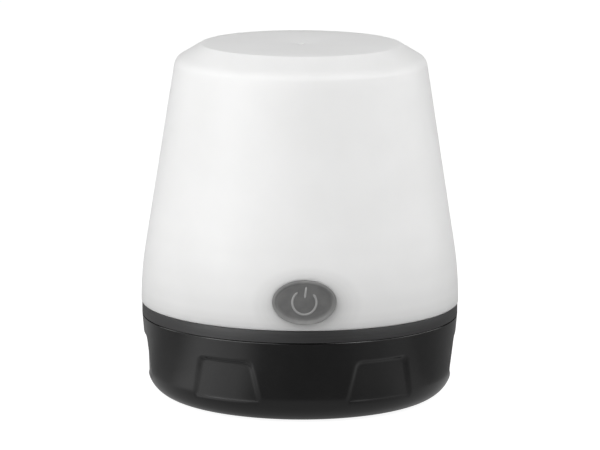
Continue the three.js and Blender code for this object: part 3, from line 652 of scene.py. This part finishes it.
def shade_outline(depth, foot_round):
    """The shade's outline from its foot to its axis, at a depth under the outer surface."""
    foot, blend, corner, edge, top = inset(shade_corners, depth)
    start = (foot[0] - 3 * foot_round, foot[1]) if foot_round else None
    curve = round_corner(foot, blend, corner, 105 * mm - depth, 40)
    turn_over = round_corner(blend, corner, edge, 3.6 * mm - depth * 0.8, 16)
    ring = round_corner(corner, edge, top, 0.35 * mm, 5)
    foot_arc = round_corner(start, foot, curve[0], foot_round, 5) if foot_round else [foot]
    return foot_arc + curve + turn_over + ring + [top]


def surface_radius(height):
    """The outer radius of the shade's lower wall at a height."""
    lean = 105 * mm
    half_turn = math.atan(shade_slope) / 2
    start = blend_height - lean * math.tan(half_turn)
    end = blend_height + lean * math.tan(half_turn) * math.cos(2 * half_turn)
    if height <= start:
        return body_radius
    if height >= end:
        return body_radius - (height - blend_height) * shade_slope
    return body_radius - lean + math.sqrt(lean ** 2 - (height - start) ** 2)


outside = shade_outline(0, 0.3 * mm)
inside = shade_outline(shade_wall, 0)
print("shade radius half way up its foot:", round(surface_radius(40 * mm) / mm, 2), "mm")

# %% [markdown]
# ### The gate mark
#
# The plastic enters the mould at the centre of the flat top and leaves a small nub there. It sits
# in a shallow dish, so that it doesn't stand above the top. Both are part of the outline, so one
# spin makes the whole shade.

# %% Gate mark and spin
dish = [(3.4, 0), (2.8, -0.04), (2.0, -0.12), (1.5, -0.18), (1.0, -0.2)]
gate = [(0.9, -0.18), (0.84, -0.05), (0.76, 0), (0, 0)]
gate_mark = [(radius * mm, shade_top + drop * mm) for radius, drop in dish + gate]
shade_profile = outside[:-1] + gate_mark + inside[::-1]
shade_bm = spun(shade_profile, 256, closed=True)
print("spun shade:", len(shade_bm.faces), "faces")

# %% [markdown]
# ### The button's hole
#
# The button's hole is cut through the finished shell with a boolean, because an oval on a curved
# wall has no simple set of edges to delete. The same oval, grown or shrunk, makes the button.

# %% The button's oval and its hole
def oval_ring(bm, margin, depth, segments=96):
    """A ring of edges round the button's centre, facing -Y, at a depth under the shade's skin."""
    ring = bmesh.ops.create_circle(bm, cap_ends=False, radius=1, segments=segments)["verts"]
    for vert in ring:
        x = vert.co.x * (button_half_width + margin)
        z = vert.co.y * (button_half_height + margin)
        vert.co = tilted(x, z, depth)
    return [edge for edge in bm.edges if edge.verts[0] in ring and edge.verts[1] in ring]


def tilted(x, z, depth):
    """A point of the button's plane, turned with the button and laid on the shade's skin."""
    across = x * math.cos(button_tilt) + z * math.sin(button_tilt)
    up = button_centre.z - x * math.sin(button_tilt) + z * math.cos(button_tilt)
    radius = surface_radius(up) - depth
    return Vector((across, -math.sqrt(radius ** 2 - across ** 2), up))


def oval_prism(margin, front, back_end):
    """A straight oval bar along Y, for cutting the hole."""
    bm = bmesh.new()
    bmesh.ops.create_circle(bm, cap_ends=True, radius=1, segments=96)
    bmesh.ops.scale(
        bm, verts=bm.verts, vec=(button_half_width + margin, button_half_height + margin, 1),
    )
    bmesh.ops.rotate(bm, verts=bm.verts, matrix=Matrix.Rotation(math.pi / 2, 3, "X"))
    bmesh.ops.rotate(bm, verts=bm.verts, matrix=Matrix.Rotation(button_tilt, 3, "Y"))
    bmesh.ops.translate(bm, verts=bm.verts, vec=button_centre + Vector((0, front, 0)))
    pulled = bmesh.ops.extrude_face_region(bm, geom=bm.faces[:])["geom"]
    ends = [g for g in pulled if isinstance(g, bmesh.types.BMVert)]
    bmesh.ops.translate(bm, verts=ends, vec=(0, back_end - front, 0))
    bmesh.ops.recalc_face_normals(bm, faces=bm.faces)
    return bm


hole_gap = 0.01 * mm
shade_bm = carved(shade_bm, [oval_prism(hole_gap, -50 * mm, -36 * mm)])
finished("diffuser_shell", shade_bm, frosted_white, "lamp_head", ["diffuser"])

# %% [markdown]
# ## The collar
#
# The collar is the lantern's backbone: a satin band that shows, an upstand that the shade is
# pressed over, a deck for the lamp board, and a spigot whose lugs carry the battery cup. Its
# outline is spun in one go, then lugs and bosses are joined to it and the screw holes are cut.

# %% Collar outline
deck_bottom = 22.3 * mm
deck_top = 24.3 * mm
seam = cup_rim + 0.05 * mm
collar_top = shade_foot - 0.1 * mm
spigot_inner, spigot_outer = 39.4 * mm, 41 * mm
upstand_inner, upstand_outer = 40.6 * mm, 42.3 * mm
collar_corners = [
    (0, deck_bottom), (spigot_inner, deck_bottom), (spigot_inner, collar_low.z),
    (spigot_outer, collar_low.z), (spigot_outer, seam), (collar_radius, seam),
    (collar_radius, collar_top), (upstand_outer, collar_top), (upstand_outer, collar_high.z),
    (upstand_inner, collar_high.z), (upstand_inner, deck_top), (0, deck_top),
]
soft = 0.15 * mm
collar_radii = [soft, soft, soft, 0, soft, soft, 0, soft, soft, soft]
collar_bm = spun(rounded(collar_corners, collar_radii, 4), 256, closed=False)
print("collar band is", round((collar_top - seam) / mm, 2), "mm tall")

# %% [markdown]
# ### Lugs, bosses and holes
#
# The lugs and bosses could be separate pieces, but they are moulded in one with the collar, so they
# are joined to it by a boolean. Each lug has a stop at one end, for the cup's tabs to turn against.
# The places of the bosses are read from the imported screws, so a screw always meets its hole. A
# window in the upstand leaves room for the button's flange.

# %% Lugs, bosses and holes
def sector_bar(inner, outer, low, high, centre, width, steps=12):
    """Part of a flat ring, between two radii and two heights, centred on an angle."""
    bm = bmesh.new()
    corners = [(inner, low), (outer, low), (outer, high), (inner, high)]
    start = Matrix.Rotation(centre - width / 2, 3, "Z")
    verts = [bm.verts.new(start @ Vector((radius, 0, height))) for radius, height in corners]
    face = bm.faces.new(verts)
    bmesh.ops.spin(
        bm, geom=[face], cent=(0, 0, 0), axis=(0, 0, 1), dvec=(0, 0, 0),
        angle=width, steps=steps, use_merge=False, use_duplicate=False,
    )
    bmesh.ops.holes_fill(bm, edges=bm.edges, sides=4)
    bmesh.ops.remove_doubles(bm, verts=bm.verts, dist=0.001 * mm)
    bmesh.ops.recalc_face_normals(bm, faces=bm.faces)
    return bm


def box_bar(low, high):
    """A box between two opposite corners."""
    bm = bmesh.new()
    bmesh.ops.create_cube(bm, size=1)
    size = Vector(high) - Vector(low)
    bmesh.ops.scale(bm, verts=bm.verts, vec=size)
    bmesh.ops.translate(bm, verts=bm.verts, vec=Vector(low) + size / 2)
    return bm


def upright_bar(radius, low, high, x, y, segments=32):
    """A round bar along Z between two heights."""
    bm = bmesh.new()
    bmesh.ops.create_cone(
        bm, cap_ends=True, segments=segments, radius1=radius, radius2=radius, depth=high - low,
    )
    bmesh.ops.translate(bm, verts=bm.verts, vec=(x, y, (low + high) / 2))
    return bm


def centre_of(node):
    """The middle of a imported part's box."""
    low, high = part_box(node)
    return (low + high) / 2


def screw_places(prefix, count):
    """The middles of numbered screws."""
    return [centre_of(f"{prefix}_{i + 1}") for i in range(count)]


lug_width = math.radians(24)
stop_width = math.radians(2)
lug_root, lug_reach = spigot_outer - 0.5 * mm, 41.95 * mm
lug_low, lug_high = 17 * mm, 19.2 * mm
tab_low, tab_high = 19.6 * mm, 21.4 * mm
lugs = []
for i in range(3):
    lug_angle = math.pi / 2 + math.tau / 3 * i
    stop_angle = lug_angle - (lug_width + stop_width) / 2
    lugs.append(sector_bar(lug_root, lug_reach, lug_low, lug_high, lug_angle, lug_width))
    stop = sector_bar(lug_root, lug_reach, lug_low, tab_high, stop_angle, stop_width, steps=2)
    lugs.append(stop)
holder_places = screw_places("holder_screw", 4)
lamp_places = screw_places("lamp_board_screw", 3)
foot_places = screw_places("frame_screw", 2)
holder_boss_radius, holder_boss_top = 2.8 * mm, 26.8 * mm
lamp_boss_radius, lamp_boss_top = 3 * mm, 24.8 * mm
boss_foot = deck_bottom + mm
bosses = [
    upright_bar(holder_boss_radius, boss_foot, holder_boss_top, p.x, p.y) for p in holder_places
]
bosses += [upright_bar(lamp_boss_radius, boss_foot, lamp_boss_top, p.x, p.y) for p in lamp_places]
collar_bm = carved(collar_bm, lugs + bosses, "UNION")
screw_hole, screw_hole_top = 1.25 * mm, 26.3 * mm
wire_hole, wire_hole_top, wire_side, wire_back = 2 * mm, 26 * mm, 13 * mm, 31.5 * mm
hole_bottom = 20 * mm
screw_holes = [
    upright_bar(screw_hole, hole_bottom, screw_hole_top, p.x, p.y)
    for p in holder_places + lamp_places + foot_places
]
wire_holes = [
    upright_bar(wire_hole, hole_bottom, wire_hole_top, x, wire_back) for x in (-wire_side, wire_side)
]
window_half = 14 * mm
switch_window = box_bar(
    (-window_half, -body_radius, collar_top), (window_half, -36 * mm, collar_high.z + 0.4 * mm),
)
collar_bm = carved(collar_bm, screw_holes + wire_holes + [switch_window])
finished("collar_ring", collar_bm, satin_black, "lamp_head", ["collar"])

# %% [markdown]
# ## The battery cup
#
# The cup is glossy and black. Its wall tapers down to a large rounded foot, and six finger grips
# are pressed into it. Their edges are soft, so they aren't cut but pushed in: the wall is spun
# with many small faces, and each point is moved towards the axis by a depth that fades at the
# edge of a rounded trapezium.

# %% Cup outline
foot_radius = 42.7 * mm
foot_round = 8.1 * mm
mouth_inner = 42.3 * mm
floor_top = cup_bottom + 2 * mm
cup_corners = [
    (0, cup_bottom), (foot_radius, cup_bottom), (rim_radius, cup_rim), (mouth_inner, cup_rim),
    (mouth_inner, 16 * mm), (40.4 * mm, 15.2 * mm), (39.4 * mm, 4.6 * mm), (36.4 * mm, floor_top),
    (0, floor_top),
]
corner_arc = round_corner(cup_corners[0], cup_corners[1], cup_corners[2], foot_round, 20)
rim_arc = round_corner(cup_corners[1], cup_corners[2], cup_corners[3], 0.3 * mm, 4)


def evenly(start, end, count):
    """Points between two ends, without them."""
    a, b = Vector(start), Vector(end)
    return [tuple(a.lerp(b, i / (count + 1))) for i in range(1, count + 1)]


wall_points = evenly(corner_arc[-1], rim_arc[0], 72)
cup_inside = rounded(cup_corners[3:], [0.2 * mm, 0.3 * mm, 0.5 * mm, 0.5 * mm, 0], 3)[1:]
cup_profile = [cup_corners[0]] + corner_arc + wall_points + rim_arc + cup_inside
cup_bm = spun(cup_profile, 960, closed=False)
print("spun cup:", len(cup_bm.faces), "faces")

# %% [markdown]
# ### Finger grips
#
# Three distances say how far a point is from a grip: outside its slanted sides, above its top and
# below its foot. The grip's outline is where the largest of them is zero. `smooth_max` rounds the
# top corners. A grip gets shallower downwards and ends just above the cup's rounded foot.

# %% Finger grips
grip_depth = 1.1 * mm
grip_foot_depth = 0.42 * mm
grip_edge = 2.0 * mm
grip_top, grip_foot = 17.5 * mm, 5.8 * mm
grip_top_half, grip_foot_half = 7.95 * mm, 10.5 * mm
grip_corner = 1.8 * mm


def wall_radius(height):
    """The radius of the cup's tapered wall, carried on down to the floor."""
    share = (height - cup_bottom) / (cup_rim - cup_bottom)
    return foot_radius + (rim_radius - foot_radius) * share


def smooth_max(a, b, softness):
    """The larger of two numbers, rounded over where they are nearly equal."""
    blend = max(softness - abs(a - b), 0) / softness
    return max(a, b) + blend * blend * softness / 4


def grip_share(angle, height):
    """1 on the floor of a finger grip, 0 outside it, with a soft edge between."""
    sixth = math.tau / 6
    offset = (angle + sixth / 2) % sixth - sixth / 2
    lean = (grip_foot_half - grip_top_half) / (grip_top - grip_foot)
    half = grip_top_half + lean * (grip_top - height)
    across = (abs(offset) * wall_radius(height) - half) / math.hypot(1, lean)
    outside_by = smooth_max(across, height - grip_top, grip_corner)
    outside_by = max(outside_by, grip_foot - height)
    share = min(max(0.5 - outside_by / grip_edge, 0), 1)
    return share * share * (3 - 2 * share)


def on_skin(radius, height):
    """Whether a point lies on the cup's outside, and not on its inner wall or floor."""
    drop = max(cup_bottom + foot_round - height, 0)
    corner = corner_arc[0][0] + math.sqrt(max(foot_round ** 2 - drop ** 2, 0))
    return radius > min(corner, wall_radius(height)) - 0.3 * mm


for vert in cup_bm.verts:
    radius = math.hypot(vert.co.x, vert.co.y)
    height = vert.co.z
    if on_skin(radius, height) and height < grip_top + grip_edge:
        share = grip_share(math.atan2(vert.co.y, vert.co.x), height)
        fade = min(max((height - grip_foot) / (grip_top - grip_foot), 0), 1)
        depth = grip_foot_depth + (grip_depth - grip_foot_depth) * fade
        target = min(radius, wall_radius(height) - depth * share)
        vert.co.x *= target / radius
        vert.co.y *= target / radius
print("six grips pressed in, up to", round(grip_depth / mm, 2), "mm deep")

# %% [markdown]
# ### Pockets under the cup
#
# The hook and the pads lie in pockets, so that the lantern stands flat. The hook's pocket needs a
# roof inside the cup and two thick bearings for its pins. The tabs that hold the cup to the
# collar's lugs are joined in the same step.

# %% Pockets under the cup
def steps_of(angle, count):
    """Evenly spaced angles from 0 to an angle, both ends in."""
    return [angle * i / count for i in range(count + 1)]


def hook_pocket(margin, low, high):
    """The hook's outline grown by a margin: straight sides and a round end."""
    half = hook_half + margin
    bm = bmesh.new()
    front = -(hook_high.z - hook_low.z) / 2 - margin
    arc = [
        Vector((half * math.cos(t), hook_arch_y + half * math.sin(t), low))
        for t in steps_of(math.pi, 48)
    ]
    start = [Vector((-half, front, low)), Vector((half, front, low))]
    face = bm.faces.new([bm.verts.new(p) for p in start + arc])
    pulled = bmesh.ops.extrude_face_region(bm, geom=[face])["geom"]
    ends = [g for g in pulled if isinstance(g, bmesh.types.BMVert)]
    bmesh.ops.translate(bm, verts=ends, vec=(0, 0, high - low))
    bmesh.ops.recalc_face_normals(bm, faces=bm.faces)
    return bm


def bar_along_x(radius, length, y, z, segments=32):
    """A round bar along X, centred on X = 0."""
    bm = bmesh.new()
    bmesh.ops.create_cone(
        bm, cap_ends=True, segments=segments, radius1=radius, radius2=radius, depth=length,
    )
    bmesh.ops.rotate(bm, verts=bm.verts, matrix=Matrix.Rotation(math.pi / 2, 3, "Y"))
    bmesh.ops.translate(bm, verts=bm.verts, vec=(0, y, z))
    return bm


hook_half = 15 * mm
hook_arch_y = 5 * mm
pocket_top = 4.4 * mm
pocket_wall = 1.5 * mm
pocket_margin = 1.8 * mm
hook_axis = (hook_low.z + hook_high.z) / 2
roof = hook_pocket(pocket_margin + pocket_wall, cup_bottom + mm, pocket_top + pocket_wall)
bearing_x, bearing_half_x, bearing_half_y = 18.4 * mm, 1.7 * mm, 3.1 * mm
bearings = []
for x in (-bearing_x, bearing_x):
    near_corner = (x - bearing_half_x, -bearing_half_y, cup_bottom + mm)
    far_corner = (x + bearing_half_x, bearing_half_y, pocket_top + pocket_wall)
    bearings.append(box_bar(near_corner, far_corner))
tab_reach, tab_root = 41.3 * mm, mouth_inner + 0.4 * mm
tabs = [
    sector_bar(tab_reach, tab_root, tab_low, tab_high, math.pi / 2 + math.tau / 3 * i, lug_width)
    for i in range(3)
]
cup_bm = carved(cup_bm, [roof, *bearings, *tabs], "UNION")
pads = [f"foot_pad_{i + 1}" for i in range(4)]
pad_radius = (pad_high.x - pad_low.x) / 2
pad_gap = 0.3 * mm
pockets = []
for pad in pads:
    place = centre_of(pad)
    pockets.append(
        upright_bar(pad_radius + pad_gap, -mm, pad_high.z + pad_gap, place.x, place.y, 48)
    )
pockets.append(hook_pocket(pocket_margin, -mm, pocket_top))
pin_bore, pin_play = 1.6 * mm, 0.35 * mm
pockets.append(bar_along_x(pin_bore, 2 * (hook_high.x + pin_play), 0, hook_axis))
cup_bm = carved(cup_bm, pockets)
finished("battery_cup", cup_bm, gloss_black, "base", ["base_cup"])

# %% [markdown]
# ## The button
#
# The button is soft grey silicone, pressed into the oval hole from inside. Rings of the same oval
# at growing depth make its section: a flange behind the wall, the neck in the hole, a rounded rim
# and a slightly sunken face. Each ring is bridged to the next, and the last one is filled with
# smaller rings so that the face bends with the shade.

# %% Button rings
def bridged_rings(rings):
    """An oval body from (margin, depth) rings, each bridged to the next, both end rings left open."""
    bm = bmesh.new()
    loops = [oval_ring(bm, margin, depth) for margin, depth in rings]
    for low, high in zip(loops, loops[1:]):
        bmesh.ops.bridge_loops(bm, edges=low + high)
    return bm, loops


button_rings = [
    (-4.5 * mm, 5.2 * mm), (1.3 * mm, 4.4 * mm), (1.5 * mm, 4.2 * mm), (1.5 * mm, 3.6 * mm),
    (1.3 * mm, 3.4 * mm), (0, 3.4 * mm), (0, 0.6 * mm), (0, 0.06 * mm), (-0.04 * mm, 0.01 * mm),
    (-0.25 * mm, -0.01 * mm), (-0.5 * mm, 0.02 * mm), (-0.72 * mm, 0.07 * mm), (-0.92 * mm, 0.17 * mm),
    (-1.12 * mm, 0.28 * mm), (-1.35 * mm, 0.33 * mm),
]
button_rings += [(-margin * mm, 0.34 * mm) for margin in (1.8, 2.4, 3.2, 4.0, 4.8, 5.6, 6.1)]
button_bm, button_loops = bridged_rings(button_rings)
bmesh.ops.holes_fill(button_bm, edges=button_loops[-1], sides=0)
bmesh.ops.holes_fill(button_bm, edges=button_loops[0], sides=0)
bmesh.ops.recalc_face_normals(button_bm, faces=button_bm.faces)
finished(
    "power_button_cap", button_bm, grey_silicone, "power_button", ["power_button"],
)

# %% [markdown]
# ## The power symbol
#
# A ring open at the top with a bar across the opening stands a little proud of the button, in a
# paler silicone. A round stroke is a tube, so each mark is a short run of circles along its path,
# bridged one to the next and pressed half into the face.

# %% Symbol strokes
symbol_radius = 3.3 * mm
stroke = 0.32 * mm
symbol_opening = math.radians(40)
face_depth = 0.34 * mm
symbol_lean = math.radians(6.2)


def stroke_along(path):
    """A rounded tube along points of the button's plane, closed at its ends."""
    bm = bmesh.new()
    loops = []
    points = [Vector(p) for p in path]
    for i, point in enumerate(points):
        ahead = (points[min(i + 1, len(points) - 1)] - points[max(i - 1, 0)]).normalized()
        side = Vector((-ahead.y, ahead.x))
        from_end = min(i, len(points) - 1 - i)
        size = stroke * (0.45, 0.8, 1)[min(from_end, 2)]
        ring = bmesh.ops.create_circle(bm, cap_ends=False, radius=1, segments=12)["verts"]
        for vert in ring:
            across = point + side * (vert.co.x * size)
            vert.co = tilted(across.x, across.y, face_depth - vert.co.y * 0.17 * mm)
        loops.append([e for e in bm.edges if e.verts[0] in ring and e.verts[1] in ring])
    for low, high in zip(loops, loops[1:]):
        bmesh.ops.bridge_loops(bm, edges=low + high)
    bmesh.ops.holes_fill(bm, edges=loops[0] + loops[-1], sides=0)
    bmesh.ops.recalc_face_normals(bm, faces=bm.faces)
    return bm


def leaned(x, z):
    """A point of the symbol turned a little clockwise, as the symbol is on its button."""
    return (
        x * math.cos(symbol_lean) + z * math.sin(symbol_lean),
        -x * math.sin(symbol_lean) + z * math.cos(symbol_lean),
    )


open_start = math.pi / 2 + symbol_opening
sweep = math.tau - 2 * symbol_opening
ring_path = [
    leaned(symbol_radius * math.cos(open_start + t), symbol_radius * math.sin(open_start + t))
    for t in steps_of(sweep, 60)
]
bar_path = [leaned(0, (1.3 + 3.0 * i / 12) * mm) for i in range(13)]
for name, path in (("symbol_ring", ring_path), ("symbol_bar", bar_path)):
    finished(name, stroke_along(path), symbol_grey, "power_button")

# %% [markdown]
# ## Hook and pads
#
# A flat ring folds into a pocket under the cup, and four rubber pads keep the lantern from
# sliding. They only show from below. The hook is joined from plain shapes: half a flat ring, two
# straight sides, two eyes and two pins. The pads are short discs with bevelled rims.

# %% Hanging hook
hook_bar_width = 3 * mm
side_middle = hook_half - hook_bar_width / 2
hook_body = []
for x in (-side_middle, side_middle):
    near_corner = (x - hook_bar_width / 2, 0, hook_low.z)
    far_corner = (x + hook_bar_width / 2, hook_arch_y, hook_high.z)
    hook_body.append(box_bar(near_corner, far_corner))
arch = sector_bar(
    hook_half - hook_bar_width, hook_half, hook_low.z, hook_high.z, math.pi / 2, math.pi, steps=48,
)
bmesh.ops.translate(arch, verts=arch.verts, vec=(0, hook_arch_y, 0))
pin_radius = 1.25 * mm
pin_start = 14 * mm
pin_length = hook_high.x - pin_start
hook_ends = []
for side in (-1, 1):
    eye = bar_along_x((hook_high.z - hook_low.z) / 2, hook_bar_width, 0, hook_axis)
    bmesh.ops.translate(eye, verts=eye.verts, vec=(side * side_middle, 0, 0))
    pin = bar_along_x(pin_radius, pin_length, 0, hook_axis)
    bmesh.ops.translate(pin, verts=pin.verts, vec=(side * (pin_start + pin_length / 2), 0, 0))
    hook_ends += [eye, pin]
hook_bm = carved(arch, hook_body + hook_ends, "UNION")
finished("hook_ring", hook_bm, satin_black, "hook", ["hanging_hook"])

# %% [markdown]
# ### Rubber pads
#
# Each pad is a disc whose rims are bevelled, because moulded rubber has no sharp edge.

# %% Rubber pads
for pad in pads:
    low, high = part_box(pad)
    middle_point = (low + high) / 2
    pad_bm = upright_bar(pad_radius, low.z, high.z, middle_point.x, middle_point.y, 64)
    rims = [e for e in pad_bm.edges if abs(e.verts[0].co.z - e.verts[1].co.z) < 0.01 * mm]
    bmesh.ops.bevel(
        pad_bm, geom=rims, offset=0.2 * mm, offset_type="OFFSET", affect="EDGES", segments=3,
        profile=0.5, material=-1,
    )
    finished(pad.replace("foot_pad", "rubber_pad"), pad_bm, black_rubber, "base", [pad])

# %% [markdown]
# ## Parts inside
#
# The lamp board, switch, holder and cells stay as the frame has them and only get their finishes.
# They are seen as a soft dark shape behind the frosted wall, or when the lantern is taken apart.

# %% Inner finishes
def plain_finish(name, dark, light, roughness, metallic=0.0, grain_scale=900):
    """A moulded or metal finish with a drift of tone, a spread of gloss and a fine grain."""
    material, tree, shader = base_finish(name, roughness)
    shader.inputs["Metallic"].default_value = metallic
    tree.links.new(colour_between(tree, noise(tree, 150, 3), dark, light), shader.inputs["Base Color"])
    grain = noise(tree, grain_scale, 3)
    spread = value_between(tree, grain, roughness - 0.05, roughness + 0.08)
    tree.links.new(spread, shader.inputs["Roughness"])
    add_relief(tree, shader, grain, 0.004 * mm)
    return material


finish_of_slot = {
    "inner_black": plain_finish("inner_black", (0.022, 0.022, 0.023), (0.03, 0.03, 0.031), 0.5),
    "white_plastic": plain_finish("white_plastic", (0.8, 0.8, 0.79), (0.84, 0.84, 0.83), 0.45),
    "green_board": plain_finish("green_board", (0.015, 0.13, 0.04), (0.02, 0.17, 0.055), 0.35),
    "white_board": plain_finish("white_board", (0.78, 0.78, 0.76), (0.83, 0.83, 0.81), 0.4),
    "led": plain_finish("led_phosphor", (0.85, 0.68, 0.2), (0.9, 0.76, 0.28), 0.3),
    "cell_can": plain_finish("cell_can", (0.3, 0.31, 0.32), (0.37, 0.38, 0.39), 0.3, 0.6),
    "steel": plain_finish("bright_steel", (0.55, 0.56, 0.57), (0.66, 0.67, 0.68), 0.3, 1.0),
    "red_wire": plain_finish("red_wire", (0.45, 0.025, 0.02), (0.52, 0.035, 0.025), 0.45),
    "white_wire": plain_finish("white_wire", (0.76, 0.76, 0.74), (0.82, 0.82, 0.8), 0.45),
    "black_wire": plain_finish("black_wire", (0.012, 0.012, 0.013), (0.018, 0.018, 0.019), 0.45),
    "black_rubber": black_rubber,
}
slots = {entry["node"]: entry["material_slot"] for entry in frame["record"]["subparts"]}
dressed = 0
for node, thing in frame["nodes"].items():
    if not thing.hide_render:
        thing.data.materials.clear()
        thing.data.materials.append(finish_of_slot[slots[node]])
        dressed += 1
print(dressed, "inner parts have their finish")
